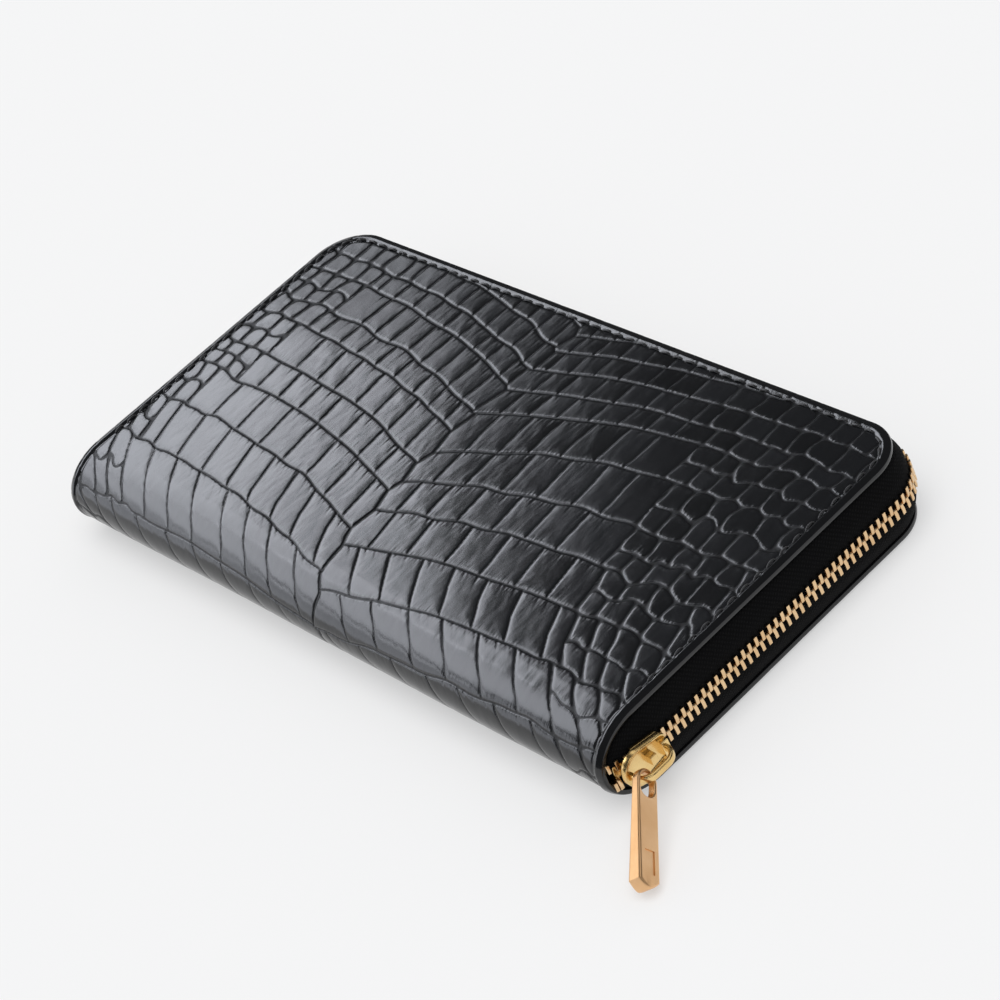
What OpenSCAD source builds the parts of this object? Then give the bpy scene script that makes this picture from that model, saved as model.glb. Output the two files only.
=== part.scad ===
// Long zip around wallet with a soft spine, a central coin pocket and stepped card pockets.
// The closed wallet lies on its lower cover.  X runs along the spine, Y from the spine to
// the far edge and Z up.  The origin is the middle of the underside.

/* [Wallet] */
// Length along the spine
wallet_w = 195; // [192:1:198]
// Depth from the spine to the far edge
wallet_d = 100; // [99:1:102]
// Height of the closed wallet
wallet_h = 20.5; // [20.5:0.5:22]
// Radius of the two far corners
corner_r = 12; // [11:0.5:13]

/* [Covers] */
// Thickness of the outer leather
skin_t = 1.2; // [1.0:0.1:1.2]
// Thickness of the stiffening board under the leather
stiffener_t = 0.7; // [0.5:0.1:0.7]
// Thickness of the inner lining
lining_t = 0.6; // [0.4:0.1:0.6]
// Distance from the cover edge to the stitch line
stitch_inset = 2.6; // [2.2:0.1:3.0]
// Distance from one stitch to the next
stitch_pitch = 4; // [3.5:0.5:5]

/* [Spine] */
// How far the rounded spine reaches in from its outermost line
spine_depth = 13.5; // [13:0.5:14]
// Half the arc that the free middle strip of the spine covers
spine_arc = 45; // [40:1:48]
// Arc at which the bent lip of a cover ends, counted from the middle of the spine
lip_arc = 62; // [58:1:66]

/* [Main zip] */
// Distance between teeth in one row
tooth_pitch = 2; // [2.0:0.05:2.2]
// Length of a tooth along the zip
tooth_w = 0.9; // [0.8:0.05:0.9]
// Thickness of a tooth across the tape
tooth_depth = 2; // [1.8:0.1:2.0]
// How far the tooth line stands out from the cover edge
zip_bulge = 1.1; // [0.9:0.1:1.3]
// Thickness of the woven tape
tape_t = 0.5; // [0.4:0.05:0.5]
// Place of the main slider along Y when the zip is shut
slider_y = -40.2; // [-40.5:0.1:-38]

/* [Pull tab] */
// Length of the pull tab
tab_l = 26; // [22:1:26]
// Width of the pull tab
tab_w = 5.4; // [5.2:0.1:5.6]
// Thickness at the eye
tab_t_eye = 1.6; // [1.4:0.1:1.6]
// Thickness at the tip
tab_t_tip = 3.8; // [3.0:0.1:3.8]
// Heading of the resting tab, seen from above
tab_heading = -51.5; // [-54:0.5:-48]
// Slope of the resting tab below the horizontal
tab_slope = 18.8; // [14:0.1:18.8]
// Roll of the resting tab about its own length
tab_roll = -64; // [-66:1:-62]

/* [Interior] */
// Width of the card pockets' backing panel
inside_w = 176; // [172:1:176]
// Height of the strip that each pocket shows above the next one
card_step = 11; // [10:0.5:11]
// Width of the coin pocket
coin_w = 168; // [160:1:168]
// Distance between teeth in one row of the coin pocket's zip
coin_pitch = 1.6; // [1.6:0.05:1.8]
// Size of the coin pocket's slider as a share of the main one
coin_scale = 0.7; // [0.65:0.05:0.7]

/* [Hidden] */
$fn = 48;

half_w = wallet_w / 2;
half_d = wallet_d / 2;
mid_z = wallet_h / 2;
// Middles of the far corner arcs
corner_x = half_w - corner_r;
corner_y = half_d - corner_r;
// Line where the flat cover turns into the spine's curve
roll_y = -half_d + spine_depth;

// How far each hidden layer stays back from the cover edge
board_inset = 2;
lining_inset = 3.5;
spine_inset = 0.9;
// Levels of the lower cover's layers
stiffener_z = skin_t;
filler_z = stiffener_z + stiffener_t;
lining_z = filler_z + tape_t;
inside_z = lining_z + lining_t;
bill_gap = 0.4;
panel_t = 0.5;
panel_gap = 0.05;
card_z = inside_z + bill_gap;
pocket_z = card_z + panel_t + panel_gap;
card_low_y = -40;
card_top_y = 38;
card_half_w = inside_w / 2 - 4;

// Folded gussets between the cards and the coin pocket
leaf_t = 0.4;
leaf_z = 6.3;
leaf_rise = 1;
gusset_y0 = -43;
gusset_y1 = 20.5;
fold_x0 = 81.5;
fold_x1 = 68;
seam_w = 0.6;

// Coin pocket
coin_wall_t = 0.6;
coin_low_z = 8;
coin_high_z = wallet_h - coin_low_z - coin_wall_t;
coin_y0 = -43;
coin_y1 = 21;
binding_w = 1;
tongue_t = 1.2;

// Main zip
tape_foot_y = -36;
tape_end_y = -47.2;
tape_edge_z = 9;
tape_bend_z = 5.6;
tape_foot_w = 9;
teeth_start_y = -47.1;
// Reach of a tooth from the middle of the zip: away from it, and past it into the other row
tooth_root = 2.3;
tooth_head = 0.45;
// How far each row stands off where the slider's neck parts them
row_spread = 1.4;
spread_y0 = -42;
spread_y1 = -37.2;
stop_l = 0.7;

// Slider, in its own frame: travel along X, width along Y, outward along Z
plate_gap = 1.25;
plate_t = 1.1;
plate_top = plate_gap + plate_t;
tail_x = 5.6;
tail_half = 3.2;
nose_x = -2;
nose_half = 4.4;
flange_gap = 0.5;
flange_t = 0.5;
neck_x = -3.7;
neck_l = 1.5;
neck_half = 0.8;
lug_l = 1.6;
lug_w = 1.9;
lug_h = 1.4;
lug_xs = [0.8, 4.4];
wire_r = 0.6;
bend_r = 3;
bail_leg_x = -4.9;
bail_end_x = lug_xs[1];
bail_crown_z = plate_top + 4.5;

// Pivot of the pull tab: the point of the bail's front bend whose wire crosses the tab's heading
pivot_turn = -tab_heading;
pivot_x = bail_leg_x + bend_r - bend_r * sin(pivot_turn);
pivot_z = bail_crown_z - bend_r + bend_r * cos(pivot_turn);
chain_x = half_w + zip_bulge;
eye_w = 3.6;
eye_l = 5.2;
eye_wall = 0.9;
eye_play = 0.7;
tip_l = 1.7;
// Blank sunk panel near the tip, on both broad faces
label_l = 5.2;
label_w = 2.6;
label_end = 3;
label_sink = 0.25;

// Coin zip, whose teeth stand in the plane y = coin_chain_y
coin_chain_y = 28.2;
coin_tape_t = 0.4;
coin_mouth = 3.3;
coin_tape_reach = 0.9;
coin_end_x = 79;
coin_slider_x = -70;
coin_pin_x = 1.5;
coin_pin_r = 0.6;
coin_pin_rise = 1.25;
coin_ear_t = 0.7;
coin_ear_l = 2.2;
coin_ear_margin = 1;
coin_tab_l = 13;
coin_tab_w = 2.6;
coin_tab_t = 1;
coin_eye_r = 1.1;
coin_tip_r = 1.5;
side_gap = 0.1;
// Depth that fused shapes sink into each other
join = 0.05;
running_gap = 0.05;
coin_top = plate_top * coin_scale;
coin_ear_y = coin_tab_w / 2 + side_gap;

black = [0.09, 0.09, 0.1];
lining_black = [0.13, 0.12, 0.12];
board_grey = [0.45, 0.44, 0.42];
tape_black = [0.05, 0.05, 0.05];
pale_gold = [0.8, 0.66, 0.46];
deep_gold = [0.84, 0.7, 0.46];
thread_black = [0.16, 0.16, 0.17];

// The upper cover is the lower one mirrored about the middle of the wallet
module upper_side() { translate([0, 0, wallet_h]) mirror([0, 0, 1]) children(); }

// Cover outline with round far corners, drawn inset from the cover edge
module cover_outline(inset, start_y) {
    r = corner_r - inset;
    side = half_w - inset;
    far = half_d - inset;
    translate([-side, start_y]) square([2 * side, corner_y - start_y]);
    translate([-corner_x, start_y]) square([2 * corner_x, far - start_y]);
    for (s = [-1, 1]) translate([s * corner_x, corner_y]) circle(r);
}

// Sweep of a profile (X outward from the cover edge, Y up) round the three open sides
module along_edge(start_y) {
    for (s = [0, 1]) mirror([s, 0, 0]) {
        translate([half_w, corner_y, 0]) rotate([90, 0, 0])
            linear_extrude(corner_y - start_y) children();
        translate([corner_x, corner_y, 0])
            rotate_extrude(angle = 90) translate([corner_r, 0]) children();
    }
    translate([-corner_x, half_d, 0]) rotate([90, 0, 90])
        linear_extrude(2 * corner_x) children();
}

// Length of the path that runs round the three open sides, outset from the cover edge
function edge_length(outset, start_y) =
    2 * (corner_y - start_y) + PI * (corner_r + outset) + 2 * corner_x;

// Place and heading at a distance along that path, from the right end of the spine
function edge_place(dist, outset, start_y) =
    let (r = corner_r + outset, arc = PI * r / 2,
         d1 = dist - (corner_y - start_y), d2 = d1 - arc, d3 = d2 - 2 * corner_x, d4 = d3 - arc,
         a1 = 90 * d1 / arc, a3 = 90 + 90 * d3 / arc)
    d1 < 0 ? [half_w + outset, start_y + dist, 90]
    : d2 < 0 ? [corner_x + r * cos(a1), corner_y + r * sin(a1), 90 + a1]
    : d3 < 0 ? [corner_x - d2, half_d + outset, 180]
    : d4 < 0 ? [-corner_x + r * cos(a3), corner_y + r * sin(a3), 90 + a3]
    : [-half_w - outset, corner_y - d4, 270];

// Arc of the spine's ellipse, in the YZ plane, inset from its outer face; 0 is its middle
function spine_curve(inset, a0, a1) =
    [for (i = [0:16]) let (a = a0 + (a1 - a0) * i / 16)
        [roll_y - (spine_depth - inset) * cos(a), mid_z + (mid_z - inset) * sin(a)]];

// Strip of the spine's curve, extruded along X
module spine_strip(inset, thick, a0, a1, half) {
    translate([-half, 0, 0]) rotate([90, 0, 90]) linear_extrude(2 * half)
        polygon(concat(spine_curve(inset, a0, a1), spine_curve(inset + thick, a1, a0)));
}

module cover_skin() {
    color(black) {
        linear_extrude(skin_t) cover_outline(0, roll_y);
        spine_strip(0, skin_t, -90, -lip_arc, half_w);
    }
}

module stiffener() {
    color(board_grey) translate([0, 0, stiffener_z])
        linear_extrude(stiffener_t) cover_outline(board_inset, roll_y + 1);
}

module filler() {
    color(board_grey) translate([0, 0, filler_z])
        linear_extrude(tape_t) cover_outline(tape_foot_w + 0.3, roll_y + 1);
}

module lining() {
    color(lining_black) translate([0, 0, lining_z])
        linear_extrude(lining_t) cover_outline(lining_inset, roll_y + 1);
}

// Stitches lie sunk into the leather, flush with its face
module edge_stitching() {
    stitch = [3.1, 0.55, 0.45];
    start = roll_y + 2;
    count = floor(edge_length(-stitch_inset, start) / stitch_pitch);
    color(thread_black)
    for (i = [0:count - 1]) {
        p = edge_place((i + 0.5) * stitch_pitch, -stitch_inset, start);
        translate([p[0], p[1], stitch[2] / 2]) rotate(p[2]) cube(stitch, center = true);
    }
}

module zip_tape() {
    low = [-0.65, lining_z - 0.1];
    color(tape_black) {
        along_edge(tape_foot_y) translate([-tape_foot_w, filler_z])
            square([tape_foot_w + low[0] + tape_t, tape_t]);
        along_edge(tape_end_y) polygon([low, [low[0] + tape_t, low[1]],
            [zip_bulge + tape_t / 2, tape_bend_z], [zip_bulge + tape_t / 2, tape_edge_z],
            [zip_bulge - tape_t / 2, tape_edge_z], [zip_bulge - tape_t / 2, tape_bend_z]]);
    }
}

// Share of the full spread at a place along the right side
function parted(y) = max(0, min(1, (spread_y1 - y) / (spread_y1 - spread_y0)));

// Lower row of teeth; the upper row is the same row moved on by half a pitch
module zip_teeth(shift) {
    count = floor(edge_length(zip_bulge, teeth_start_y) / tooth_pitch) - 1;
    color(pale_gold)
    for (i = [0:count - 1]) {
        p = edge_place((i + 0.25 + shift) * tooth_pitch, zip_bulge, teeth_start_y);
        drop = p[0] > 0 && p[2] == 90 ? row_spread * parted(p[1]) : 0;
        translate([p[0], p[1], mid_z - tooth_root - drop]) rotate(p[2])
            translate([-tooth_w / 2, -tooth_depth / 2, 0])
                cube([tooth_w, tooth_depth, tooth_root + tooth_head]);
    }
}

// Clips that end the rows beside the spine
module zip_stops() {
    color(pale_gold)
    for (s = [0, 1]) mirror([s, 0, 0])
        translate([chain_x - tooth_depth / 2, tape_end_y - stop_l, mid_z - tooth_root - row_spread])
            cube([tooth_depth, stop_l, tooth_root]);
}

// Backing panel of the card pockets, with a rim that closes the note compartment
module card_base() {
    rim = 2;
    low = card_low_y - rim;
    color(lining_black) {
        translate([-inside_w / 2, low, card_z]) cube([inside_w, card_top_y + 2 - low, panel_t]);
        translate([-inside_w / 2, low, inside_z]) cube([inside_w, rim, bill_gap]);
        for (x = [-inside_w / 2, inside_w / 2 - rim])
            translate([x, card_low_y, inside_z]) cube([rim, card_top_y - card_low_y, bill_gap]);
    }
}

// Stepped pocket; number 1 is the tallest and lies on the backing panel
module card_pocket(number) {
    top = card_top_y - (number - 1) * card_step;
    color(lining_black)
        translate([-card_half_w, card_low_y, pocket_z + (number - 1) * (panel_t + panel_gap)])
            cube([2 * card_half_w, top - card_low_y, panel_t]);
}

// Folded leaf pair; the fold runs inward from the spine to the mouth
module gusset(side) {
    card_x = inside_w / 2;
    coin_x = coin_w / 2;
    card_leaf = [[card_x, gusset_y0], [card_x, gusset_y1], [fold_x1, gusset_y1], [fold_x0, gusset_y0]];
    coin_leaf = [[coin_x, gusset_y0], [coin_x, gusset_y1], [fold_x1, gusset_y1], [fold_x0, gusset_y0]];
    fold = [[fold_x0, gusset_y0], [fold_x0 + leaf_t, gusset_y0],
        [fold_x1 + leaf_t, gusset_y1], [fold_x1, gusset_y1]];
    color(lining_black) scale([side, 1, 1]) {
        translate([0, 0, leaf_z]) linear_extrude(leaf_t) polygon(card_leaf);
        translate([0, 0, leaf_z + leaf_rise]) linear_extrude(leaf_t) polygon(coin_leaf);
        translate([0, 0, leaf_z]) linear_extrude(leaf_rise + leaf_t) polygon(fold);
        translate([card_x - seam_w, gusset_y0 + 3, card_z + panel_t])
            cube([seam_w, gusset_y1 - gusset_y0 - 3, leaf_z + leaf_t - card_z - panel_t]);
        translate([coin_x - seam_w, gusset_y0, leaf_z + leaf_rise])
            cube([seam_w, gusset_y1 - gusset_y0, coin_low_z - leaf_z - leaf_rise]);
    }
}

module spine_skin() { color(black) spine_strip(0, skin_t, -spine_arc, spine_arc, half_w - spine_inset); }

module spine_lining() {
    color(lining_black) spine_strip(skin_t, lining_t, -spine_arc, spine_arc, half_w - lining_inset);
}

module coin_pocket_wall(z) {
    color(lining_black) translate([-coin_w / 2, coin_y0, z])
        cube([coin_w, coin_y1 - coin_y0, coin_wall_t]);
}

// Edge binding on three sides of the coin pocket, with the tongue that is sewn to the spine
module coin_pocket_binding() {
    low = coin_low_z + coin_wall_t;
    high = coin_high_z - low;
    spine_face = roll_y - (spine_depth - skin_t - lining_t);
    color(lining_black) {
        translate([-coin_w / 2, coin_y0, low]) cube([coin_w, binding_w, high]);
        for (x = [-coin_w / 2, coin_w / 2 - binding_w])
            translate([x, coin_y0, low]) cube([binding_w, coin_y1 - coin_y0 - 6, high]);
        translate([-coin_w / 2, spine_face + 0.1, mid_z - tongue_t / 2])
            cube([coin_w, coin_y0 - spine_face - 0.1, tongue_t]);
    }
}

// Two tapes that widen the pocket's mouth round the slider and then turn in to the teeth
module coin_zip_tapes() {
    wall_z = coin_low_z + coin_wall_t;
    low = mid_z - coin_mouth;
    face = coin_chain_y + coin_tape_t / 2;
    color(tape_black)
    for (s = [0, 1]) translate([0, 0, mid_z]) mirror([0, 0, s]) translate([0, 0, -mid_z])
        translate([-coin_end_x, 0, 0]) rotate([90, 0, 90]) linear_extrude(2 * coin_end_x)
            polygon([[coin_y1 - 5, wall_z], [coin_y1, wall_z], [coin_y1 + 3, low - coin_tape_t],
                [face, low - coin_tape_t], [face, mid_z - coin_tape_reach],
                [face - coin_tape_t, mid_z - coin_tape_reach], [face - coin_tape_t, low],
                [coin_y1 + 3.2, low], [coin_y1 + 0.2, wall_z + coin_tape_t],
                [coin_y1 - 5, wall_z + coin_tape_t]]);
}

// Share of the coin rows' full spread at a place along X
function coin_parted(x) = max(0, min(1, (coin_slider_x + 2 - x) / 3.4));

module coin_zip_teeth() {
    count = floor(2 * coin_end_x / coin_pitch) - 1;
    long = (tooth_root + tooth_head) * coin_scale;
    deep = tooth_depth * coin_scale;
    wide = 0.7;
    color(pale_gold)
    for (s = [0, 1], i = [0:count - 1]) {
        x = -coin_end_x + (i + 0.6 + s / 2) * coin_pitch;
        drop = row_spread * coin_scale * coin_parted(x);
        translate([x, coin_chain_y, mid_z]) mirror([0, 0, s])
            translate([-wide / 2, -deep / 2, -tooth_root * coin_scale - drop]) cube([wide, deep, long]);
    }
}

module coin_zip_stops() {
    size = [0.9, 1.6, 1.6];
    color(pale_gold)
    for (s = [0, 1], side = [-1, 1])
        translate([side * (coin_end_x + size[0] / 2), coin_chain_y, mid_z]) mirror([0, 0, s])
            translate([-size[0] / 2, -size[1] / 2, -size[2] - 1.1]) cube(size);
}

// Outline of a slider plate: straight sides that widen to a round nose
module slider_outline() {
    nose = [for (i = [0:24]) let (a = 90 + 180 * i / 24)
        [nose_x + nose_half * cos(a), nose_half * sin(a)]];
    polygon(concat([[tail_x, -tail_half + 0.8], [tail_x, tail_half - 0.8],
        [tail_x - 0.8, tail_half]], nose, [[tail_x - 0.8, -tail_half]]));
}

// Two plates joined by the neck, with flanges that leave a slot for the tapes
module slider_plates() {
    for (z = [plate_gap, -plate_top]) translate([0, 0, z]) linear_extrude(plate_t) slider_outline();
    for (z = [flange_gap, -plate_gap], s = [0, 1])
        translate([0, 0, z]) mirror([0, s, 0]) linear_extrude(plate_gap - flange_gap)
            polygon([[tail_x - 0.8, tail_half - flange_t], [nose_x, nose_half - flange_t],
                [nose_x, nose_half], [tail_x - 0.8, tail_half]]);
    translate([0, 0, -plate_gap]) linear_extrude(2 * plate_gap)
        polygon([[neck_x - neck_l, 0], [neck_x, -neck_half], [neck_x + neck_l, 0], [neck_x, neck_half]]);
}

// The main slider's place: travel along Y, outward along X
module at_slider() { translate([chain_x, slider_y, mid_z]) rotate([90, 0, 90]) children(); }

module slider_body() {
    color(deep_gold) at_slider() {
        slider_plates();
        for (x = lug_xs) translate([x - lug_l / 2, -lug_w / 2, plate_top]) cube([lug_l, lug_w, lug_h]);
    }
}

module bail_bend(x, turn) {
    translate([x, 0, bail_crown_z - bend_r]) rotate([90, 0, 0]) rotate(turn)
        rotate_extrude(angle = 90) translate([bend_r, 0]) circle(wire_r);
}

// Wire arch over the outer plate: front leg, bend, crown, bend and the leg on the rear lug
module slider_bail() {
    bend_z = bail_crown_z - bend_r;
    front = bail_leg_x + bend_r;
    rear = bail_end_x - bend_r;
    color(deep_gold) at_slider() {
        translate([bail_leg_x, 0, plate_top]) cylinder(r = wire_r, h = bend_z - plate_top);
        bail_bend(front, 90);
        translate([front, 0, bail_crown_z]) rotate([0, 90, 0]) cylinder(r = wire_r, h = rear - front);
        bail_bend(rear, 0);
        translate([bail_end_x, 0, plate_top + lug_h])
            cylinder(r = wire_r, h = bend_z - plate_top - lug_h);
    }
}

// Outline of the tab: a round eye end at the origin side and a shallow pointed tip
module tab_outline() {
    r = tab_w / 2;
    translate([r, 0]) circle(r);
    polygon([[r, -r], [tab_l - tip_l, -r], [tab_l, 0], [tab_l - tip_l, r], [r, r]]);
}

// Half the tab's thickness at a distance from its eye end
function tab_half(x) = (tab_t_eye + (tab_t_tip - tab_t_eye) * x / tab_l) / 2;

// Wedge shaped pull tab, length along X, hung by its eye from the bail's front bend
module pull_tab() {
    eye_x = eye_wall + eye_w / 2;
    label_x = tab_l - label_end - label_l;
    color(pale_gold)
    translate([chain_x + pivot_z, slider_y + pivot_x, mid_z])
        rotate([0, 0, tab_heading]) rotate([0, tab_slope, 0]) rotate([tab_roll, 0, 0])
            translate([-eye_wall - wire_r - eye_play, 0, 0])
            difference() {
                intersection() {
                    translate([0, 0, -tab_t_tip]) linear_extrude(2 * tab_t_tip) tab_outline();
                    rotate([90, 0, 0]) translate([0, 0, -tab_w]) linear_extrude(2 * tab_w)
                        polygon([[0, -tab_half(0)], [tab_l, -tab_half(tab_l)],
                            [tab_l, tab_half(tab_l)], [0, tab_half(0)]]);
                }
                for (x = [eye_x, eye_x + eye_l - eye_w])
                    translate([x, 0, -tab_t_tip]) cylinder(d = eye_w, h = 2 * tab_t_tip);
                translate([eye_x, -eye_w / 2, -tab_t_tip])
                    cube([eye_l - eye_w, eye_w, 2 * tab_t_tip]);
                for (s = [0, 1]) mirror([0, 0, s])
                    translate([label_x, -label_w / 2, tab_half(label_x + label_l / 2) - label_sink])
                        cube([label_l, label_w, tab_t_tip]);
            }
}

// The coin slider's place: travel along X, outward along Y
module at_coin_slider() {
    translate([coin_slider_x, coin_chain_y, mid_z]) rotate([-90, 0, 0]) children();
}

module coin_slider_body() {
    color(deep_gold) at_coin_slider() {
        scale(coin_scale) slider_plates();
        for (y = [-coin_ear_y - coin_ear_t, coin_ear_y]) difference() {
            translate([coin_pin_x - coin_ear_l / 2, y, coin_top - join])
                cube([coin_ear_l, coin_ear_t, coin_pin_rise + coin_ear_margin + join]);
            translate([coin_pin_x, y - 1, coin_top + coin_pin_rise]) rotate([-90, 0, 0])
                cylinder(r = coin_pin_r, h = coin_ear_t + 2);
        }
    }
}

module coin_slider_pin() {
    reach = coin_ear_y + coin_ear_t;
    color(deep_gold) at_coin_slider()
        translate([coin_pin_x, -reach, coin_top + coin_pin_rise]) rotate([-90, 0, 0])
            cylinder(r = coin_pin_r, h = 2 * reach);
}

// Flat tab with a barrel eye that turns on the pin
module coin_pull_tab() {
    color(pale_gold) at_coin_slider()
    translate([coin_pin_x, 0, coin_top + coin_pin_rise])
        difference() {
            union() {
                translate([0, -coin_tab_w / 2, 0]) rotate([-90, 0, 0])
                    cylinder(r = coin_eye_r, h = coin_tab_w);
                translate([0, -coin_tab_w / 2, 0])
                    cube([coin_tab_l - coin_tip_r, coin_tab_w, coin_tab_t]);
                translate([coin_tab_l - coin_tip_r, 0, 0]) cylinder(r = coin_tip_r, h = coin_tab_t);
            }
            translate([0, -coin_tab_w, 0]) rotate([-90, 0, 0])
                cylinder(r = coin_pin_r + running_gap, h = 2 * coin_tab_w);
        }
}

cover_skin();  // lower_cover_skin
stiffener();  // lower_stiffener
filler();  // lower_filler
lining();  // lower_lining
edge_stitching();  // lower_edge_stitching
zip_tape();  // lower_zip_tape
zip_teeth(0);  // lower_zip_teeth
zip_stops();  // lower_zip_stops
card_base();  // lower_card_base
card_pocket(1);  // lower_card_pocket_1
card_pocket(2);  // lower_card_pocket_2
card_pocket(3);  // lower_card_pocket_3
card_pocket(4);  // lower_card_pocket_4
gusset(-1);  // lower_gusset_left
gusset(1);  // lower_gusset_right
upper_side() cover_skin();  // upper_cover_skin
upper_side() stiffener();  // upper_stiffener
upper_side() filler();  // upper_filler
upper_side() lining();  // upper_lining
upper_side() edge_stitching();  // upper_edge_stitching
upper_side() zip_tape();  // upper_zip_tape
upper_side() zip_teeth(0.5);  // upper_zip_teeth
upper_side() zip_stops();  // upper_zip_stops
upper_side() card_base();  // upper_card_base
upper_side() card_pocket(1);  // upper_card_pocket_1
upper_side() card_pocket(2);  // upper_card_pocket_2
upper_side() card_pocket(3);  // upper_card_pocket_3
upper_side() card_pocket(4);  // upper_card_pocket_4
upper_side() gusset(-1);  // upper_gusset_left
upper_side() gusset(1);  // upper_gusset_right
spine_skin();
spine_lining();
coin_pocket_wall(coin_low_z);  // coin_pocket_lower_wall
coin_pocket_wall(coin_high_z);  // coin_pocket_upper_wall
coin_pocket_binding();
coin_zip_tapes();
coin_zip_teeth();
coin_zip_stops();
slider_body();
slider_bail();
pull_tab();
coin_slider_body();
coin_slider_pin();
coin_pull_tab();
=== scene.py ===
"""Looks of a long zip around wallet in black crocodile leather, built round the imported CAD.

Lengths are in millimetres until a mesh is made.  X runs along the spine, Y from the spine to
the far edge and Z up.  The outer leather is one hide that is unrolled from the upper far edge
round the spine to the lower far edge; v is the height on that hide, equal to y on the top.
"""

import math

import bmesh
import bpy
import numpy as np
from mathutils import Matrix, Vector


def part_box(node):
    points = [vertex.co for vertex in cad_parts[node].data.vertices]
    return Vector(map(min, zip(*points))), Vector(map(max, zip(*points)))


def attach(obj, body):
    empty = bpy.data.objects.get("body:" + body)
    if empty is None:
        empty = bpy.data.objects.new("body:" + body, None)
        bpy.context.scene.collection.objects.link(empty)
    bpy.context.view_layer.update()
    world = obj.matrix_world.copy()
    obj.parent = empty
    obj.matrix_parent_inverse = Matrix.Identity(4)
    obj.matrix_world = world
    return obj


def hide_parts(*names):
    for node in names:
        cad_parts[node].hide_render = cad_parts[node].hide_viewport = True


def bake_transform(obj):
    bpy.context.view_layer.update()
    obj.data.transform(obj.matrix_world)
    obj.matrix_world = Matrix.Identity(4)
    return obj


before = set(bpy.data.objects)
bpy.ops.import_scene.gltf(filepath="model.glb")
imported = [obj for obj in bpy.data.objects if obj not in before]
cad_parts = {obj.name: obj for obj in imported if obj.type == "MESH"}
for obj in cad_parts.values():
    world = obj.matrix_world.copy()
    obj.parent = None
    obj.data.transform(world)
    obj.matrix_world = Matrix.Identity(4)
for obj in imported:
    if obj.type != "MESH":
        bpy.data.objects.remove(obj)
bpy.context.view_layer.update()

MM = 0.001


def spans(node):
    """Lowest and highest X, Y and Z of a CAD node, in millimetres."""
    return [(low / MM, high / MM) for low, high in zip(*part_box(node))]


# Sizes that come from the frame
HALF_W = spans("lower_cover_skin")[0][1]
FAR_Y = spans("lower_cover_skin")[1][1]
SPINE_Y = spans("spine_skin")[1][0]
HEIGHT = spans("upper_cover_skin")[2][1]
MID_Z = HEIGHT / 2

# Sizes shared with the CAD source
CORNER_R = 12
CORNER_X = HALF_W - CORNER_R
CORNER_Y = FAR_Y - CORNER_R
SPINE_DEPTH = 13.5
ROLL_Y = SPINE_Y + SPINE_DEPTH
STITCH_INSET = 2.6
STITCH_PITCH = 4
TOOTH_PITCH = 2
ZIP_BULGE = 1.1
TEETH_START_Y = -47.1
TAPE_END_Y = -47.2
TAPE_T = 0.5
SKIN_T = 1.2
LINING_T = 0.6
ROW_SPREAD = 1.4
CHAIN_X = HALF_W + ZIP_BULGE
SLIDER_Y = -40.2
PLATE_TOP = 2.35

# Quarter of the spine's ellipse, from its middle to the line where it turns flat
ARC_A = np.radians(np.linspace(0, 90, 400))
ARC_STEPS = np.hypot(np.diff(SPINE_DEPTH * np.cos(ARC_A)), np.diff(MID_Z * np.sin(ARC_A)))
ARC_S = np.concatenate([[0], np.cumsum(ARC_STEPS)])
QUARTER = ARC_S[-1]
MIDDLE_V = ROLL_Y - QUARTER


# ---------------------------------------------------------------- helpers


def smooth(x, low, high):
    """0 below low, 1 above high, with a soft step between."""
    t = np.clip((x - low) / (high - low), 0, 1)
    return t * t * (3 - 2 * t)


def wobble(x, y, wave, seed, terms=5):
    """Smooth irregular field of about unit size, made of a few sines."""
    rng = np.random.default_rng(seed)
    total = 0
    for _ in range(terms):
        turn, phase = rng.uniform(0, 2 * math.pi, 2)
        k = 2 * math.pi / wave * rng.uniform(0.7, 1.5)
        total = total + np.sin(k * (x * math.cos(turn) + y * math.sin(turn)) + phase)
    return total / math.sqrt(terms)


def place_object(name, data):
    """Makes an object and puts it in the scene."""
    obj = bpy.data.objects.new(name, data)
    bpy.context.scene.collection.objects.link(obj)
    return obj


def add_object(name, mesh, material):
    """Makes a piece of a finished mesh with its material."""
    mesh.materials.clear()
    mesh.materials.append(material)
    return place_object(name, mesh)


def stand_for(obj, node, body):
    """Has a piece stand for a CAD node and move with a body."""
    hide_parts(node)
    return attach(obj, body)


def cover_of(side):
    """Name of the cover on this side."""
    return "upper" if side > 0 else "lower"


def make_mesh(name, rows, faces, sharp=40):
    """Mesh whose points are rows of a place in millimetres, a UV and the hide's values."""
    mesh = bpy.data.meshes.new(name)
    mesh.from_pydata((rows[:, :3] * MM).tolist(), [], faces)
    if rows.shape[1] > 3:
        corner = np.zeros(len(mesh.loops), np.int32)
        mesh.loops.foreach_get("vertex_index", corner)
        layer = mesh.uv_layers.new(name="surface")
        layer.data.foreach_set("uv", rows[corner, 3:5].astype(np.float32).ravel())
    for key, value in zip(("groove", "near", "tone"), rows.T[5:]):
        attribute = mesh.attributes.new(key, "FLOAT", "POINT")
        attribute.data.foreach_set("value", value.astype(np.float32).ravel())
    mesh.shade_smooth()
    mesh.set_sharp_from_angle(angle=math.radians(sharp))
    mesh.validate()
    mesh.update()
    return mesh


def cell_outline(i0, i1, j0, j1, n, m):
    """Corners of a coarse cell, with every fine point where it lies on the grid's border."""
    low = range(j0, j1) if i0 == 0 else [j0]
    right = range(i0, i1) if j1 == m - 1 else [i0]
    high = range(j1, j0, -1) if i1 == n - 1 else [j1]
    left = range(i1, i0, -1) if j0 == 0 else [i1]
    return (
        [(i0, j) for j in low]
        + [(i, j1) for i in right]
        + [(i1, j) for j in high]
        + [(i, j0) for i in left]
    )


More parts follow.
